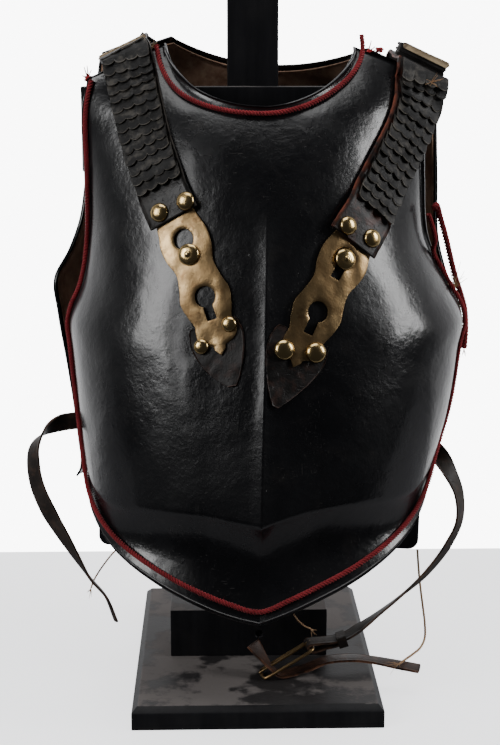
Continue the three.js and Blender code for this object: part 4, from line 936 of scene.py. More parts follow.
# %% [markdown]
# ## Straps, scales and tabs
#
# Each shoulder strap is a band of thick hide. Rows of thin leather with a scalloped edge are
# sewn across it like roof tiles, so that the strap stays supple and still turns a blade. A
# row is a small grid whose lower edge follows a chain of round lobes. Age has curled the lobes,
# so each lobe gets its own lift from a seeded random number, more on the right strap, which has
# dried out more.

# %% Straps
STRAP = dict(thickness=2.4, lift=4.7, lift_from=-36, lift_to=-62)
# Sideways places of each strap's edges, which drift outwards between two distances up the strap.
STRAP_EDGES = dict(
    left=dict(end=-19, left=-21.1, right=21.9, left_drift=0, right_drift=0, begins=85, full=150),
    right=dict(end=-14, left=-25, right=20.9, left_drift=4.5, right_drift=6, begins=75, full=150))
GAP = 0.3


def strap_height(distance):
    """Height of the strap's underside: it lies on the plate, but rises over its brass plate."""
    s = smoothstep(-np.asarray(distance, float), -STRAP["lift_from"], -STRAP["lift_to"])
    return STRAP["lift"] + (GAP + 0.3 - STRAP["lift"]) * s


def strap_edges(side, distance):
    """Sideways places of a strap's left and right edge at a distance along its track."""
    edges = STRAP_EDGES[side]
    drift = smoothstep(-np.asarray(distance, float), edges["begins"], edges["full"])
    return edges["left"] + edges["left_drift"] * drift, edges["right"] + edges["right_drift"] * drift


def band_on(track, name, start, end, left, right, height, thickness, material, columns=14, rows=240,
            ragged=0.3, seed=1.0):
    """A leather band along a track, with slightly uneven sides."""
    d = np.linspace(start, end, rows)[:, None]
    u = np.linspace(-1, 1, columns)[None, :]
    middle, half = (left + right) / 2, (right - left) / 2
    rough = ragged * ripple(d * 0.21, seed, 0)
    sideways = middle + u * (half + rough * np.abs(u))
    lift_here = height(d) if callable(height) else height + 0 * d
    outer = track.place(d, sideways, lift_here + thickness + 0.35 * ripple(d * 0.05, u * 1.3, seed))
    inner = track.place(d, sideways, lift_here + 0 * u)
    uvs = np.stack(np.broadcast_arrays(u, (d - start) / (end - start) * 0.9), -1)
    return wall_object(name, outer, inner, material, uvs=uvs)


SIDES = [("left", LEFT_TRACK), ("right", RIGHT_TRACK)]
STRAP_HIDE = dict(left=(black_leather, "black_leather", 2.0), right=(strap_leather, "brown_leather", 3.0))
STRAP_ROWS = 240
for side, track in SIDES:
    hide, slot, seed = STRAP_HIDE[side]
    reach = (STRAP_EDGES[side]["end"], track.end + 0.5)
    edges = strap_edges(side, np.linspace(*reach, STRAP_ROWS)[:, None])
    band = band_on(track, f"{side}_strap_band", *reach, *edges, strap_height, STRAP["thickness"], hide,
                   rows=STRAP_ROWS, seed=seed)
    place(band, slot, f"{side}_strap")

# %% Scales
SCALE = dict(thickness=1.0, pitch=9.4, length=14, lobes=4, lobe_depth=3.0, start=-47, clear=0.5,
             back_start=22)
SCALE_ROWS = dict(left=15, right=14, back=5)
SCALE_MARGINS = dict(left=(0.4, 1.4), right=(4.2, 0.6))
SCALE_CURL = dict(left=1.0, right=2.3)
scale_random = random.Random(11)


def scale_row(side, track, along, way, tilt, curl, length=SCALE["length"], columns=57, rows=9):
    """Outer and inner grids of one scalloped row, and their UV places."""
    left, right = strap_edges(side, along)
    left, right = left + SCALE_MARGINS[side][0], right - SCALE_MARGINS[side][1]
    u = np.linspace(0, 1, columns)
    lobe = u * SCALE["lobes"]
    index = np.minimum(lobe.astype(int), SCALE["lobes"] - 1)
    drop = [SCALE["lobe_depth"] * scale_random.uniform(0.8, 1.3) for _ in range(SCALE["lobes"])]
    lifts = [curl * scale_random.uniform(0.1, 1.0) for _ in range(SCALE["lobes"])]
    skew = scale_random.uniform(-1.2, 1.2)
    shape = np.sin(np.pi * (lobe - index)) ** 0.6
    low = np.take(drop, index) * (shape - 1) + skew * (u - 0.5)
    s = np.linspace(0, 1, rows)[:, None]
    v = -length + (low + length) * s
    d = along + v * way
    base = strap_height(d) + STRAP["thickness"] + GAP + SCALE["clear"]
    height = base + (SCALE["length"] + v) * tilt + np.take(lifts, index) * shape * s ** 3
    height = height + 0.3 * np.sin(u * 9 + along) * s
    x = left + (right - left) * u + 0.5 * math.sin(along * 1.7)
    outer = track.place(d, x + 0 * s, height + SCALE["thickness"])
    inner = track.place(d, x + 0 * s, height)
    return outer, inner, np.stack(np.broadcast_arrays(u * 2 - 1, s), -1)


def place_scales(side, rows, name, nodes):
    parts = [wall_object(f"{side}_row", outer, inner, scale_leather, uvs=uvs) for outer, inner, uvs in rows]
    place(join(name, parts), "black_leather", *nodes)


tilt = (SCALE["thickness"] + GAP) / SCALE["pitch"]
for side, track in SIDES:
    rows = [scale_row(side, track, SCALE["start"] - j * SCALE["pitch"], 1, tilt, SCALE_CURL[side])
            for j in range(SCALE_ROWS[side])]
    if side == "right":  # the last row is torn loose and stands up
        top = SCALE["start"] - (SCALE_ROWS[side] - 0.4) * SCALE["pitch"]
        rows.append(scale_row(side, track, top, 1, tilt * 1.6, 4.2, length=16))
    place_scales(side, rows, f"{side}_scales_cut",
                 [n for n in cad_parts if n.startswith(f"{side}_scales_")])
    rows = [scale_row(side, track, track.end + SCALE["back_start"] + j * SCALE["pitch"], -1, tilt, 0.5)
            for j in range(SCALE_ROWS["back"])]
    place_scales(side, rows, f"{side}_back_scales_cut", [f"{side}_back_scales"])

# %% Pointed tabs
TAB = dict(start=72, widest=88, thickness=1.6, neck=3, swell=1, swell_at=6, taper=20)
TABS = dict(left=dict(half=22, shift=-1.5, tip=125, tip_aside=3.3, tip_half=3.5),
            right=dict(half=24.7, shift=-1.8, tip=134, tip_aside=-1, tip_half=2.5))


def tab_edge(side, way):
    """Distances and sideways places along one edge of a tab, as two curves that meet where it is widest."""
    tab = TABS[side]
    corners = np.array([
        (TAB["start"], tab["shift"] + way * (tab["half"] - TAB["neck"])),
        (TAB["start"] + TAB["swell_at"], tab["shift"] + way * (tab["half"] + TAB["swell"])),
        (TAB["widest"], tab["shift"] + way * tab["half"]),
        (TAB["widest"] + TAB["taper"], tab["shift"] + way * (tab["half"] - TAB["neck"])),
        (tab["tip"], tab["tip_aside"] + way * tab["tip_half"])])
    t = np.linspace(0, 1, 14)[:, None]
    curves = [(1 - t) ** 2 * corners[k] + 2 * t * (1 - t) * corners[k + 1] + t ** 2 * corners[k + 2]
              for k in (0, 2)]
    return np.concatenate([curves[0], curves[1][1:]]).T


for side, track in SIDES:
    d = np.linspace(TAB["start"], TABS[side]["tip"], 70)[:, None]
    u = np.linspace(-1, 1, 34)[None, :]
    left, right = (np.interp(d, *tab_edge(side, way)) for way in (-1, 1))
    ragged = 0.5 * ripple(d * 0.3, np.array([[-5.0, 5.0]]), 2.0)
    left, right = left + ragged[:, :1], right + ragged[:, 1:]
    x = (left + right) / 2 + u * (right - left) / 2
    t = np.clip((d - TAB["widest"]) / (TABS[side]["tip"] - TAB["widest"]), 0, 1)
    creases = 0.4 * np.sin(d * 0.36 + x * 0.15 + 1.8 * np.sin(x * 0.2 + d * 0.08)) * t * (1 - t ** 4)
    curl = 0.6 * np.sin(d * 0.16 + len(side)) * u ** 2 + 1.1 * t ** 3 + creases
    outer = track.place(d, x, GAP + TAB["thickness"] + curl)
    inner = track.place(d, x, GAP + curl * 0.8)
    uvs = np.stack(np.broadcast_arrays(u, t), -1)
    place(wall_object(f"{side}_tab_cut", outer, inner, tab_leather, uvs=uvs), "black_leather",
          f"{side}_leather_tab")

# %% [markdown]
# ## Shoulder crests
#
# Where the straps cross the shoulders the hide is folded and sewn into a ridge. On the left a
# pale strip with four stitch slots is left, and on the right a stack of dark layers with a worn
# golden roll on top. Both are short bands along the tracks, laid on each other with uneven ends.

# %% Crests
CREST = dict(clear=0.4, left=dict(depth=8, start=-22.5, stop=22.5),
             right=dict(depth=2, start=-24, stop=21, height=10.5, skin=1.6))
# name, front, rear, insets at the two ends, height, thickness, seed
FOLD = (("low", 6, 6, 0, 0, 0, 1.1, 1.0), ("top", 4.2, 5.5, 1.5, 0.5, 1.2, 1.2, 4.0))
# front, rear, inset
STACK = ((8, 10, 0), (6.4, 10, 1.5), (8.2, 9, 0.4), (6.8, 9.6, 1.0), (7.9, 9, 0.2))
over = STRAP["thickness"] + 2 * GAP + CREST["clear"]
left_crest = LEFT_TRACK.crest(CREST["left"]["depth"])
right_crest = RIGHT_TRACK.crest(CREST["right"]["depth"])


def crest_band(track, name, at, front, rear, *rest, **settings):
    """A short ragged band across the top of a shoulder."""
    return band_on(track, name, at + front, at - rear, *rest, columns=30, rows=16, ragged=0.9, **settings)


start, stop = CREST["left"]["start"], CREST["left"]["stop"]
layers = [crest_band(LEFT_TRACK, f"left_crest_{name}", left_crest, front, rear, start + inset,
                     stop - far_inset, over + height, thickness, tan_leather, seed=seed)
          for name, front, rear, inset, far_inset, height, thickness, seed in FOLD]
place(join("left_crest_fold", layers), "tan_leather", "left_crest_strip")

start, stop, height, skin = (CREST["right"][key] for key in ("start", "stop", "height", "skin"))
rise = height / len(STACK)
layers = [crest_band(RIGHT_TRACK, f"stack_{n}", right_crest, front, rear, start + inset,
                     stop - inset * 0.5, over + n * rise, rise + 0.3, black_leather, seed=6.0 + n)
          for n, (front, rear, inset) in enumerate(STACK)]
place(join("right_crest_layers", layers), "black_leather", "right_crest_stack")
sunk = 3.2  # the roll's underside reaches into the stack
roll = crest_band(RIGHT_TRACK, "right_crest_roll", right_crest, 8.6, 8, start + 4, stop,
                  over + height - sunk, skin + sunk, tan_leather, seed=9.0)
place(roll, "tan_leather", "right_crest_strip")

# %% [markdown]
# ## Brass plates, studs and rivets
#
# The plates are thin cast brass with a wavy outline, filed edges and two keyholes, so that the
# strap can be hooked on a stud of the breastplate at two lengths. The outline is filled as a
# flat sheet, cut into a fine mesh, and wrapped on the strap's track. Its sides bend towards the
# chest, which gives the soft gradients that sheet brass shows. The rivet heads are one turned
# profile that Geometry Nodes sets on marked points.

# %% Brass
brass = Finish("brass", metallic=1.0, Specular_IOR_Level=0.5)
tarnish = brass.patchy(38.0, 0.5, 0.25)
stain = brass.patchy(120.0, 0.38, 0.12)
hairlines = brass.group(scratches, Scale=1300.0, Amount=0.55)
metal = brass.mix(tarnish, (0.40, 0.275, 0.135), (0.21, 0.135, 0.065))
metal = brass.mix(stain, metal, (0.13, 0.065, 0.028), 0.55)
metal = brass.mix(hairlines, metal, (0.62, 0.46, 0.24), 0.3)
brass.feed(Base_Color=metal, Roughness=brass.between(tarnish, 0.28, 0.46))
brass.relief(110.0, 0.0009, 0.4)
brass.relief(500.0, 0.0002, 0.4)

polished = Finish("polished_brass", metallic=1.0)
spots = polished.patchy(160.0, 0.4, 0.2)
polished.feed(Base_Color=polished.mix(spots, (0.55, 0.40, 0.18), (0.34, 0.23, 0.10)),
              Roughness=polished.between(spots, 0.18, 0.34))
polished.relief(300.0, 0.0002, 0.3)

# %% Keyhole plates
PLATE = dict(thickness=1.2, lift=2.7, hole=8.6, slot=8.2, slot_end=19.5, second=50, dish=1.1, dent=0.8,
             hole_sink=0.7, cell=2.0)
# along, half width
PLATE_OUTLINE = [
    (-24, 16.5), (-12, 18.8), (0, 21.4), (12, 20.4), (25, 16.6), (38, 18.4), (50, 21.2), (62, 18.8),
    (71, 15.8), (77, 16.4), (84, 16.0), (88, 12.0), (91, 5.4), (94, 4.6), (99, 0.0)]


def keyhole(centre):
    """Outline of a keyhole: most of a circle, and a slot that opens upwards from it."""
    half_slot = PLATE["slot"] / 2
    open_angle = math.asin(half_slot / PLATE["hole"])
    arc = [math.pi / 2 - open_angle - k / 36 * (2 * math.pi - 2 * open_angle) for k in range(37)]
    ring = [(half_slot, centre + PLATE["slot_end"])]
    ring += [(PLATE["hole"] * math.cos(a), centre + PLATE["hole"] * math.sin(a)) for a in arc]
    return ring + [(-half_slot, centre + PLATE["slot_end"])]


def flat_plate(thickness):
    """A flat plate (X sideways, Y along) in millimetres, cut into small faces."""
    along = np.linspace(-24, 94, 110)
    half = read_table(PLATE_OUTLINE, along)[:, 1]
    tip = (0, PLATE_OUTLINE[-1][0])
    border = [*zip(half, along), tip, *zip(-half[::-1], along[::-1])]
    bm = bmesh.new()
    edges = []
    for ring in (border, keyhole(0), keyhole(PLATE["second"])):
        verts = [bm.verts.new((x, y, 0)) for x, y in ring]
        edges += [bm.edges.new((verts[n], verts[(n + 1) % len(verts)])) for n in range(len(verts))]
    bmesh.ops.triangle_fill(bm, edges=edges, use_beauty=True)
    for normal, low, high in (((0, 1, 0), -22.5, 98), ((1, 0, 0), -20, 20.5)):
        for at in np.arange(low, high, PLATE["cell"]):
            bmesh.ops.bisect_plane(bm, geom=bm.verts[:] + bm.edges[:] + bm.faces[:], dist=1e-4,
                                   plane_co=Vector(normal) * at, plane_no=normal)
    bmesh.ops.remove_doubles(bm, verts=bm.verts, dist=0.02)
    if sum(f.normal.z for f in bm.faces) < 0:
        bmesh.ops.reverse_faces(bm, faces=bm.faces)
    made = bmesh.ops.extrude_face_region(bm, geom=bm.faces[:])
    for vert in (g for g in made["geom"] if isinstance(g, bmesh.types.BMVert)):
        vert.co.z += thickness
    bmesh.ops.recalc_face_normals(bm, faces=bm.faces)
    mesh = bpy.data.meshes.new("keyhole_plate")
    bm.to_mesh(mesh)
    bm.free()
    return mesh


def round_edges(obj, width, segments, angle):
    """A bevel in millimetres on the edges that are sharper than an angle in degrees."""
    bevel = obj.modifiers.new("soft edge", "BEVEL")
    bevel.width = width * MM
    bevel.segments = segments
    bevel.limit_method = "ANGLE"
    bevel.angle_limit = math.radians(angle)


for side, track in SIDES:
    mesh = flat_plate(PLATE["thickness"])
    co = np.array([v.co for v in mesh.vertices])
    half = np.maximum(read_table(PLATE_OUTLINE, co[:, 1])[:, 1], 6)
    dish = -PLATE["dish"] * (np.abs(co[:, 0]) / half) ** 3
    dish += PLATE["dent"] * ripple(co[:, 0] * 0.09, co[:, 1] * 0.07, len(side) - 1.0)
    ring = np.minimum(np.hypot(co[:, 0], co[:, 1]), np.hypot(co[:, 0], co[:, 1] - PLATE["second"]))
    dish -= PLATE["hole_sink"] * np.clip(1 - (ring - PLATE["hole"]) / 3.5, 0, 1) ** 2
    placed = track.place(co[:, 1], co[:, 0], PLATE["lift"] + co[:, 2] + dish) * MM
    mesh.vertices.foreach_set("co", placed.ravel())
    mesh.materials.append(brass.material)
    mesh.polygons.foreach_set("use_smooth", [True] * len(mesh.polygons))
    plate = new_object(f"{side}_keyhole_plate", mesh)
    round_edges(plate, 0.35, 2, 50)
    place(plate, "brass", f"{side}_brass_plate")

# %% Rivets and studs
def capped(rings, first, last):
    """Points and faces of a tube of rings, closed at each end by a fan round a point."""
    count, sides = rings.shape[:2]
    tip = count * sides
    faces = grid_quads(count, sides, wrap=True).tolist()
    faces += [[tip, (k + 1) % sides, k] for k in range(sides)]
    faces += [[tip + 1, tip - sides + k, tip - sides + (k + 1) % sides] for k in range(sides)]
    return np.concatenate([rings.reshape(-1, 3), [first, last]]), faces


def turned_head(name, profile, sides=40):
    """A closed turned shape from (radius, height) pairs, of unit radius."""
    profile = np.array(profile, float)
    angle = np.linspace(0, 2 * np.pi, sides, endpoint=False)
    rings = np.stack([profile[:, :1] * np.cos(angle), profile[:, :1] * np.sin(angle),
                      profile[:, 1:] + 0 * angle], -1)
    points, faces = capped(rings, [0, 0, profile[0, 1]], [0, 0, profile[-1, 1]])
    return make_object(name, points / MM, faces, polished.material)


dome_profile = [(1.0, 0.0), (1.03, 0.05)] + [
    (math.cos(a), 0.08 + 0.5 * math.sin(a)) for a in np.linspace(0.12, 1.5, 14)]
ball_profile = [(0.42, -0.5), (0.42, -0.08), (0.9, -0.02), (1.0, 0.1)] + [
    (math.cos(a), 0.14 + 0.36 * math.sin(a)) for a in np.linspace(0.1, 1.15, 9)] + [
    (0.3, 0.475), (0.24, 0.5), (0.18, 0.56), (0.08, 0.6)]
dome = turned_head("rivet_dome", dome_profile)
ball = turned_head("stud_ball", ball_profile)

set_tree, given, result = mesh_group("SetHeads", ("Head", "NodeSocketObject", None))
facing = add_node(set_tree, "GeometryNodeInputNamedAttribute", {"Name": "facing"}, data_type="FLOAT_VECTOR")
radius = add_node(set_tree, "GeometryNodeInputNamedAttribute", {"Name": "radius"}, data_type="FLOAT")
head = add_node(set_tree, "GeometryNodeObjectInfo", {"Object": given["Head"]})
aligned = add_node(set_tree, "FunctionNodeAlignRotationToVector", {"Vector": facing.outputs[0]}, axis="Z")
heads = add_node(set_tree, "GeometryNodeInstanceOnPoints", {
    "Points": given["Geometry"], "Instance": head.outputs["Geometry"],
    "Rotation": aligned.outputs[0], "Scale": radius.outputs[0]})
end_in_mesh(set_tree, heads.outputs[0], given, result)

# Rivet pairs: radius, distance along, half their spacing, shift sideways, and slant. The outer one
# of a pair, towards the arm, sits lower by the slant, and the inner one higher.
RIVETS = dict(
    left=dict(upper=(7.6, -27, 12, 3.6, -1.2), lower=(6.1, 82.6, 13.4, -1.2, 5.7),
              back=(5.5, 8, 11.8, 0, 0)),
    right=dict(upper=(7.6, -24, 11.8, -1.7, -2.4), lower=(8.2, 85, 12.4, 0, -4.4),
               back=(5.5, 8, 11.8, 0, 0)))
STUD = dict(radius=8.8, along=dict(left=13.6, right=1.5))


def heads_on(name, head_object, marks):
    """Rivet heads at marks of (track, along, sideways, height, radius), as one mesh."""
    at = [t.place(np.array(float(d)), x, h) for t, d, x, h, _ in marks]
    facing_way = [unit(t.place(np.array(float(d)), x, h + 1.0) - p)
                  for p, (t, d, x, h, _) in zip(at, marks)]
    points = make_object(name + "_points", at, [], polished.material)
    points.data.attributes.new("facing", "FLOAT_VECTOR", "POINT").data.foreach_set(
        "vector", np.array(facing_way).ravel())
    points.data.attributes.new("radius", "FLOAT", "POINT").data.foreach_set(
        "value", [m[4] * MM for m in marks])
    made = grown(points, set_tree, name, Head=head_object, Material=polished.material)
    bpy.data.objects.remove(points)
    made.data.polygons.foreach_set("use_smooth", [True] * len(made.data.polygons))
    return made


seat = dict(upper=STRAP["lift"] + STRAP["thickness"] + 0.2, lower=PLATE["lift"] + PLATE["thickness"] + 0.1,
            back=GAP + 0.3 + STRAP["thickness"] + 0.2)
marks, studs = [], []
for side, track in SIDES:
    outwards = -1 if side == "left" else 1
    for which, (size, along, aside, shift, slant) in RIVETS[side].items():
        start = track.end if which == "back" else 0
        for way in (1, -1):
            sideways = outwards * way * aside + shift
            marks.append((track, start + along + way * slant, sideways, seat[which], size))
    studs.append((track, STUD["along"][side], 0, seat["lower"] + 0.4, STUD["radius"]))
rivet_nodes = [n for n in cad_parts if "_rivet_" in n]
place(heads_on("brass_rivets", dome, marks), "brass", *rivet_nodes)
place(heads_on("brass_studs", ball, studs), "brass", "left_stud", "right_stud")
for spare in (dome, ball):
    bpy.data.objects.remove(spare)

# %% [markdown]
# ## Belts, buckle and loose leather
#
# The waist belt hangs open, so its two halves fall in free curves. A strip is swept through the
# same stations as in the part, with a slow wave added across it, because leather that has been
# bent for years is never flat. The buckle is a forged loop with its prong, and the keeper is a
# band of leather closed round the strap.

# %% Free strips
STEPS = 14  # rows of points between two stations of a strip


def free_strip(name, stations, width, thickness, material, seed, crumple=0.5):
    """A strip of leather through stations, each a point and the way its width points there."""
    at, t = smooth_route([s[0] for s in stations], (len(stations) - 1) * STEPS + 1)
    sides = np.array([s[1] for s in stations], float)
    along = unit(np.gradient(at, axis=0))
    side = rows_at(t, np.arange(len(sides)), sides)
    side = unit(side - along * (side * along).sum(-1, keepdims=True))
    out = np.cross(along, side)
    u = np.linspace(-1, 1, 9)[None, :, None]
    sideways = u * (width / 2 + 0.35 * ripple(t * 0.35, seed, 0.5)[:, None, None])
    rise = crumple * ripple(t * 0.6, seed, 7.5)[:, None, None] * (u ** 2 - 0.4)
    middle = at[:, None] + side[:, None] * sideways + out[:, None] * rise
    edge_thin = thickness / 2 * (1 - 0.25 * u ** 4)
    outer, inner = middle + out[:, None] * edge_thin, middle - out[:, None] * edge_thin
    uvs = np.stack(np.broadcast_arrays(u[..., 0], t[:, None] * 0.5), -1)
    return wall_object(name, outer, inner, material, uvs=uvs)


LEFT_BELT = [((-162, 22, 226), (0, 0, 1)), ((-175, 18, 225), (0.1, 0, 1)),
             ((-187, 9, 221), (0.4, -0.3, 0.8)),
             ((-198, 2, 207), (0.6, -0.7, 0.3)), ((-199.2, -2, 190.7), (0.75, -0.6, 0)),
             ((-196, -4, 171.5), (0.85, -0.5, 0.1)), ((-186, -7, 148), (0.85, -0.4, 0.3)),
             ((-171, -10, 122), (0.7, -0.7, 0.3)), ((-149.6, -14, 87), (0.2, -1, 0.1)),
             ((-135.2, -17, 70), (0.25, -1, 0.1)), ((-126.3, -20, 48), (0.3, -0.9, 0))]
ACROSS = (-0.18, 0.98, 0)
RIGHT_BELT = [((164, 22, 201), (0.1, 0.2, 0.95)), ((171, 12, 194), (0.2, 0.4, 0.9)),
              ((179, 2, 181), (0.5, 0.6, 0.5)), ((187, -5, 162), (0.55, 0.8, 0.15)),
              ((187, -12, 139), (0.5, 0.85, -0.1)), ((175, -24, 119), (0.35, 0.75, -0.55)),
              ((155, -38, 99), (0.1, 0.75, -0.65)), ((129, -54, 82), (0, 0.9, -0.4)),
              ((106, -67, 69.5), (0, 1, -0.2))] + [(p, ACROSS) for p in (
                  (89.5, -75, 60.5), (79, -77.6, 54.8), (68, -78.2, 51.8), (58, -78.2, 50.8),
                  (50, -78.2, 50.2), (45.5, -78.2, 49), (44.3, -78.2, 46.5), (45.5, -78.2, 44),
                  (50, -78.2, 43), (58, -78.2, 45.6), (68, -78.2, 48), (78, -77.8, 50.9))]
BUCKLE_STRAP = [((144, -77, 23.2), (0, 1, 0.1)), ((124, -72, 25.5), (0, 1, 0.1))] + [
    (p, (0, 1, 0)) for p in (
        (103, -69, 28.5), (86, -69, 30.5), (63, -72, 30), (45, -79, 26), (30, -83, 23))] + [
    ((20, -84.8, 23), (-0.1, 1, 0)), ((13, -84.8, 29), (-0.1, 1, 0)), ((6, -82, 37), (0.3, 1, 0)),
    ((-2.5, -77, 48), (0.7, 0.8, 0.3))]
for node, *shape in (("left_belt", LEFT_BELT, 15, 2.6, belt_leather, 3.0, 0.5),
                     ("right_belt", RIGHT_BELT, 15, 2.6, belt_leather, 5.0, 0.25),
                     ("buckle_strap", BUCKLE_STRAP, 14, 2.8, russet_leather, 8.0, 0.6)):
    place(free_strip(node + "_strip", *shape), "brown_leather", node)

# %% Buckle and keeper
def ring_solid(name, sections, material):
    """Closed ring through sections of points, the last of which joins the first."""
    sections = np.asarray(sections)
    rings, sides = sections.shape[:2]
    r, c = np.arange(rings)[:, None], np.arange(sides)[None, :]
    r2, c2 = (r + 1) % rings, (c + 1) % sides
    quads = np.stack(np.broadcast_arrays(
        r * sides + c, r * sides + c2, r2 * sides + c2, r2 * sides + c), -1)
    points = sections.reshape(-1, 3)
    return make_object(name, points, outward(points, quads.reshape(-1, 4)).tolist(), material)


def tube(name, path, radii, material, sides=8):
    """A tube with its own radius at each point of the path, closed at both ends."""
    path = np.asarray(path, float)
    along = unit(np.gradient(path, axis=0))
    aid = np.where(np.abs(along[:, 2:]) < 0.9, [[0.0, 0.0, 1.0]], [[1.0, 0.0, 0.0]])
    side = unit(np.cross(along, aid))
    out = np.cross(along, side)
    a = np.linspace(0, 2 * np.pi, sides, endpoint=False)[None, :, None]
    around = side[:, None] * np.cos(a) + out[:, None] * np.sin(a)
    points, faces = capped(path[:, None] + around * np.asarray(radii)[:, None, None], path[0], path[-1])
    return make_object(name, points, faces, material)


def rounded_loop(count, power):
    """Steps round a rectangle with soft corners: the angle, and places across and up from -1 to 1."""
    for a in np.linspace(0, 2 * np.pi, count, endpoint=False):
        c, s = math.cos(a), math.sin(a)
        beyond = (abs(c) ** power + abs(s) ** power) ** (-1 / power)
        yield a, c * beyond, s * beyond


BUCKLE = dict(bar=3.6, depth=20, near_left=(7, -96, 22.6), near_right=(50.2, -88, 46.5))
depth_way = unit(np.array(ACROSS))
near_left, near_right = np.array(BUCKLE["near_left"]), np.array(BUCKLE["near_right"])
width_way = unit(near_right - near_left)
flat_out = unit(np.cross(width_way, depth_way))
span = np.linalg.norm(near_right - near_left)
centre = (near_left + near_right) / 2 + depth_way * BUCKLE["depth"] / 2
b = np.linspace(0, 2 * np.pi, 10, endpoint=False)[:, None]
sections = []
for a, across, aside in rounded_loop(72, 7):
    at = centre + width_way * across * span / 2 + depth_way * aside * BUCKLE["depth"] / 2
    outwards = unit(width_way * math.cos(a) * 0.46 + depth_way * math.sin(a))
    thick = BUCKLE["bar"] / 2 * (0.92 + 0.08 * math.cos(2 * a))
    sections.append(at + outwards * np.cos(b) * thick + flat_out * np.sin(b) * thick * 0.9)
frame_loop = ring_solid("buckle_loop", sections, brass.material)
prong_path = [centre + width_way * x + depth_way * 0.5 + flat_out * h
              for x, h in ((span / 2 + 1.5, 3.4), (span / 2 - 4, 3.6), (5, 3.0), (-span / 2 + 4, 3.0),
                           (-span / 2 - 1.6, 2.7))]
prong, _ = even_route(prong_path, 1.2)
radii = 1.35 - 0.5 * np.linspace(0, 1, len(prong)) ** 2
buckle = join("buckle_with_prong", [frame_loop, tube("prong", prong, radii, brass.material, sides=10)])
place(buckle, "brass", "buckle_frame")

KEEPER = dict(at=(75, -77.9, 51.9), along=(10, 0.4, 3), half_width=8.2, half_height=3.6, wall=1.4, length=8)
keeper_at, keeper_along = np.array(KEEPER["at"]), unit(np.array(KEEPER["along"]))
keeper_wide = unit(depth_way - keeper_along * (depth_way @ keeper_along))
keeper_up = np.cross(keeper_along, keeper_wide)
sections = [[keeper_at + keeper_wide * across * (KEEPER["half_width"] + grow)
             + keeper_up * up * (KEEPER["half_height"] + grow) + keeper_along * end * KEEPER["length"] / 2
             for grow, end in ((0, -1), (KEEPER["wall"], -1), (KEEPER["wall"], 1), (0, 1))]
            for _, across, up in rounded_loop(56, 6)]
keeper = ring_solid("keeper_band", sections, belt_leather)
keeper.data.polygons.foreach_set("use_smooth", [False] * len(keeper.data.polygons))
place(keeper, "brown_leather", "belt_keeper")

# %% [markdown]
# ## Stitches, knots and frayed ends
#
# Small things tell the age of a piece. A row of stitches follows the lining's top band, and the
# wool ends in knots and loose curls on the shoulders. Stitches are one short bead set again
# and again along a curve by Geometry Nodes. Frayed ends are thin tapered tubes that fan out from
# a point, each bent by its own seeded random amount.

# %% Stitch tree
stitch_tree, given, result = mesh_group(
    "Stitches", ("Spacing", FLOAT, 0.005), ("Length", FLOAT, 0.0028), ("Thickness", FLOAT, 0.0004))
dots = add_node(stitch_tree, "GeometryNodeCurveToPoints", {
    "Curve": given["Geometry"], "Length": given["Spacing"]}, mode="LENGTH")
bead = add_node(stitch_tree, "GeometryNodeMeshCylinder", {
    "Vertices": 6, "Radius": given["Thickness"], "Depth": given["Length"]})
lie = add_node(stitch_tree, "FunctionNodeAlignRotationToVector", {
    "Vector": dots.outputs["Tangent"]}, axis="Z")
set_on = add_node(stitch_tree, "GeometryNodeInstanceOnPoints", {
    "Points": dots.outputs["Points"], "Instance": bead.outputs["Mesh"], "Rotation": lie.outputs[0]})
end_in_mesh(stitch_tree, set_on.outputs[0], given, result)

lining_top = []
for across in np.linspace(-0.9, 0.9, 90):
    at = np.array(float(across))
    inside = hang_back(back_surface(at, back_top(at) - 22.0))
    lining_top.append(inside + np.array([-0.03 * inside[0] / 1.5, -4.9, 0]))
sewing = grown_along("lining_stitches", np.array(lining_top), stitch_tree, Spacing=4.6 * MM,
                     Length=3.2 * MM, Thickness=0.45 * MM, Material=strap_leather)
place(sewing, "lining_leather")

slots = []
for x in np.linspace(-13, 15, 5):
    slots.append(tube("slot", [LEFT_TRACK.place(np.array(left_crest - 0.6 + d), x + 0.25 * d, over + 2.5)
                               for d in np.linspace(-3.2, 3.2, 5)], np.full(5, 0.5), strap_leather, sides=6))
place(join("crest_stitches", slots), "black_leather")

# %% Frayed ends and knots
fray_random = random.Random(5)


def frayed(name, start, way, length, count, spread, thickness, material):
    """A fan of thin bent fibres from one point, in millimetres."""
    fibres = []
    way = unit(np.array(way, float))
    for _ in range(count):
        turn = np.array([fray_random.gauss(0, spread) for _ in range(3)])
        bend = np.array([fray_random.gauss(0, spread) for _ in range(3)])
        reach = length * fray_random.uniform(0.45, 1.0)
        t = np.linspace(0, 1, 7)[:, None]
        path = start + (way + turn * 0.7) * reach * t + bend * reach * 0.6 * t ** 2
        fibres.append(tube("fibre", path, thickness * (1 - 0.6 * t[:, 0]), material, sides=4))  # tapered
    return join(name, fibres)


def wool_knot(name, centre, size):
    """A tied knot: a cord that follows a trefoil."""
    a = np.linspace(0, 2 * np.pi, 25)[:-1]
    trefoil = np.stack([(2 + np.cos(3 * a)) * np.cos(2 * a) * 0.3, (2 + np.cos(3 * a)) * np.sin(2 * a) * 0.26,
                        np.sin(3 * a) * 0.42], -1)
    return twisted(name, centre + size * trefoil, 2.4, 5, bright_wool.material, spacing=0.8)[0]


bright_wool = Finish("bright_wool", Roughness=0.9, Sheen_Weight=0.2, Specular_IOR_Level=0.15)
bright_wool.feed(Base_Color=bright_wool.mix(bright_wool.patchy(120.0, 0.5, 0.2),
                                            (0.5, 0.03, 0.03), (0.3, 0.015, 0.02)))
bright_wool.relief(1500.0, 0.0003, 0.6)

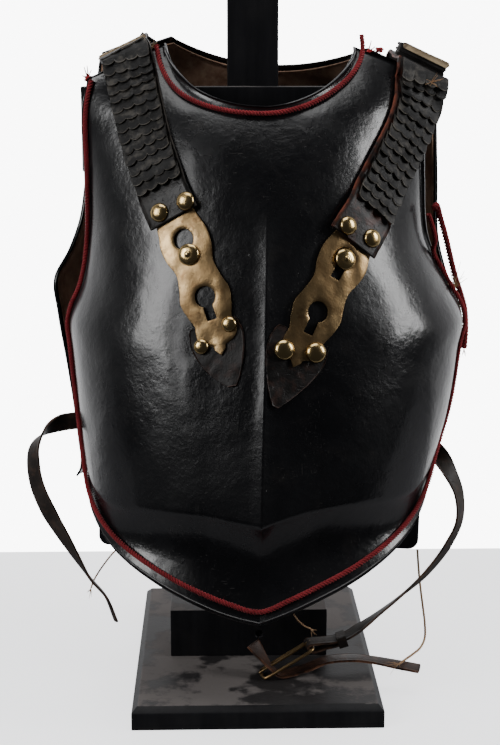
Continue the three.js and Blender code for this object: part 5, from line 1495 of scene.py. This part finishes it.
# start, way, length, count, spread, thickness of each fan of fibres
TUFTS = dict(left_tuft=((-141, -12, 533), (-0.2, -0.2, 1), 6, 6, 0.5, 0.8),
             right_tuft=((96, -5, 554), (0.7, -0.2, 0.6), 9, 7, 0.5, 0.85),
             loose_end=(LOOSE_ROUTE[-1], (0, 0, -1), 8, 10, 0.35, 0.35))
FRAYS = dict(shoulder_fibres=((-90, -8, 556), (0.2, -0.5, 0.8), 10, 24, 0.6, 0.3),
             twine_end=(LEFT_TWINE[-1], (-0.2, 0, -1), 9, 10, 0.4, 0.25),
             right_end=(RIGHT_TWINE[-1], (-1, -0.4, 0.1), 12, 14, 0.5, 0.28),
             thread_end=(SHORT_THREAD[-1], (0.6, 0, -1), 6, 10, 0.5, 0.22),
             arm_fibres=((176, -10, 352), (0.4, -0.3, 0.7), 16, 18, 0.45, 0.38),
             arm_fibres_low=((183, -6, 340), (-0.5, -0.6, -0.9), 20, 12, 0.35, 0.36),
             torn_row_fibres=(RIGHT_TRACK.place(np.array(-178.0), 9, 9), (0.5, -0.6, 0.2), 9, 12, 0.7, 0.4))
KNOTS = dict(left_knot=((-141, -11, 533), 3.6), right_knot=((95, -5, 553), 4.4),
             far_knot=((107, -6, 557), 3.4))
tufts = [wool_knot(name, *knot) for name, knot in KNOTS.items()]
tufts += [frayed(name, *fan, bright_wool.material) for name, fan in TUFTS.items()]
place(join("wool_ends", tufts), "red_wool")
frays = [frayed(name, *fan, flax.material) for name, fan in FRAYS.items()]
place(join("frayed_fibres", frays), "twine")

# %% [markdown]
# ## Stand
#
# The stand is black-stained timber. Its edges are softened a little with a bevel on a copy of
# each CAD solid, so that they catch a thin line of light. Dust settles only on faces that look
# up, so the dust colour is masked with the surface normal and with noise, and dark round marks
# are left where things stood on it.

# %% Stained wood
wood = Finish("black_wood", Specular_IOR_Level=0.2)
along_grain = add_node(wood.tree, "ShaderNodeMapping", {
    "Vector": wood.where, "Scale": (1.0, 1.0, 0.07)}).outputs[0]
figure = wood.patchy(160.0, 0.5, 0.3, Vector=along_grain)
stained = wood.mix(figure, (0.004, 0.004, 0.005), (0.009, 0.009, 0.0105))
stained = wood.mix(wood.patchy(28.0, 0.4, 0.2), stained, (0.017, 0.016, 0.016), 0.5)
normal = add_node(wood.tree, "ShaderNodeNewGeometry").outputs["Normal"]
up = add_node(wood.tree, "ShaderNodeSeparateXYZ", {0: normal}).outputs[2]
dust = wood.math("MULTIPLY", wood.between(wood.patchy(19.0, 0.5, 0.05), 0.95, 0.12),
                 wood.math("GREATER_THAN", up, 0.9))
wood.feed(Base_Color=wood.mix(dust, stained, (0.125, 0.112, 0.107)), Roughness=wood.between(dust, 0.42, 0.85))
wood.relief(300.0, 0.0004, 0.5, Vector=along_grain)
wood.relief(40.0, 0.0008, 0.25)


def softened(node, width):
    """A copy of a CAD solid with rounded edges, in its place."""
    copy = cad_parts[node].copy()
    copy.data = copy.data.copy()
    for key in list(copy.keys()):
        del copy[key]
    copy.name = node + "_softened"
    copy.parent = None
    bpy.context.scene.collection.objects.link(copy)
    copy.data.materials.clear()
    copy.data.materials.append(wood.material)
    bm = bmesh.new()
    bm.from_mesh(copy.data)
    bmesh.ops.remove_doubles(bm, verts=bm.verts, dist=1e-5)
    bmesh.ops.dissolve_limit(bm, angle_limit=0.02, verts=bm.verts, edges=bm.edges)
    bmesh.ops.recalc_face_normals(bm, faces=bm.faces)
    bm.to_mesh(copy.data)
    bm.free()
    round_edges(copy, width, 3, 25)
    copy.hide_render = False
    copy.hide_viewport = False
    return place(copy, "black_wood", node)


SOFT_EDGES = dict(base_board=0.9, post=0.8, front_block=1.0, shoulder_board=1.2, waist_board=1.2)
for node, width in SOFT_EDGES.items():
    softened(node, width)

# %% [markdown]
# ## Floor, light and camera
#
# The room is plain: a pale table top that ends behind the stand, a white wall beyond it, broad
# soft lights at the sides and overhead, and a narrow one that picks out the ridge. Broad lights
# draw the long calm highlights that make dark steel look rounded. The table top shines a little
# for the camera and is darker in the steel, which would otherwise mirror it in a pale band. The
# camera stands a little above the shoulders and looks slightly down.

# %% Floor and room
FLOOR = dict(half_width=2500, front=-260, back=317, below=0.2)
table_top = Finish("pale_floor", Roughness=0.6, Specular_IOR_Level=0.2)
ray = table_top.tree.nodes.new("ShaderNodeLightPath").outputs
table_top.feed(
    Base_Color=table_top.mix(ray["Is Glossy Ray"], (0.60, 0.61, 0.625), (0.17, 0.17, 0.18)),
    Emission_Color=table_top.mix(ray["Is Camera Ray"], (0.0, 0.0, 0.0), (0.98, 0.98, 1.0)))
table_top.shader.inputs["Emission Strength"].default_value = 1.7
corners = [(side * FLOOR["half_width"], FLOOR[end], -FLOOR["below"])
           for side, end in ((-1, "front"), (1, "front"), (1, "back"), (-1, "back"))]
floor = make_object("floor", corners, [[0, 1, 2, 3]], table_top.material, smooth=False)

world = bpy.data.worlds.new("studio")
bpy.context.scene.world = world
world.use_nodes = True
sky = world.node_tree
way = add_node(sky, "ShaderNodeSeparateXYZ", {0: sky.nodes.new("ShaderNodeTexCoord").outputs["Generated"]})
behind = add_node(sky, "ShaderNodeMapRange", {
    "Value": way.outputs[1], "From Min": -0.05, "From Max": 0.8}).outputs[0]
shade = add_node(sky, "ShaderNodeMix", {
    0: behind, 6: (0.035, 0.036, 0.04, 1.0), 7: (1.3, 1.3, 1.32, 1.0)}, data_type="RGBA")
seen = sky.nodes.new("ShaderNodeLightPath").outputs["Is Camera Ray"]
wall = add_node(sky, "ShaderNodeMix", {
    0: seen, 6: shade.outputs[2], 7: (9.0, 9.0, 9.05, 1.0)}, data_type="RGBA")
sky.links.new(wall.outputs[2], sky.nodes["Background"].inputs["Color"])
print("world nodes:", len(sky.nodes))


# %% Lights and camera
def soft_light(name, place_at, look_at, size, power):
    """A rectangular lamp that looks at a point, of a size in metres and a power in watts."""
    light = bpy.data.lights.new(name, "AREA")
    light.shape = "RECTANGLE"
    light.size, light.size_y = size
    light.energy = power
    obj = new_object(name, light)
    obj.location = place_at
    obj.rotation_euler = (Vector(look_at) - Vector(place_at)).to_track_quat("-Z", "Y").to_euler()


CHEST_MIDDLE = (0, 0, 0.35)
soft_light("left_light", (-1.5, -0.95, 1.05), CHEST_MIDDLE, (0.6, 1.0), 19)
soft_light("right_light", (1.6, -0.45, 1.05), CHEST_MIDDLE, (0.5, 1.0), 20)
soft_light("ridge_light", (-1.05, -1.25, 1.05), CHEST_MIDDLE, (0.14, 1.2), 3.0)
soft_light("top_light", (0.0, -0.2, 2.2), (0, 0, 0.3), (1.6, 1.2), 22)

camera = bpy.data.cameras.new("camera")
camera.lens, camera.sensor_width = 70.07, 36.0
camera_object = new_object("camera", camera)
camera_object.location = (-0.0336, -1.272, 0.541)
camera_object.rotation_euler = Vector((0.02323, 0.97852, -0.20484)).to_track_quat("-Z", "Y").to_euler()
bpy.context.scene.camera = camera_object
print("lights:", [light.name for light in bpy.data.lights], "lens:", round(camera.lens, 2))
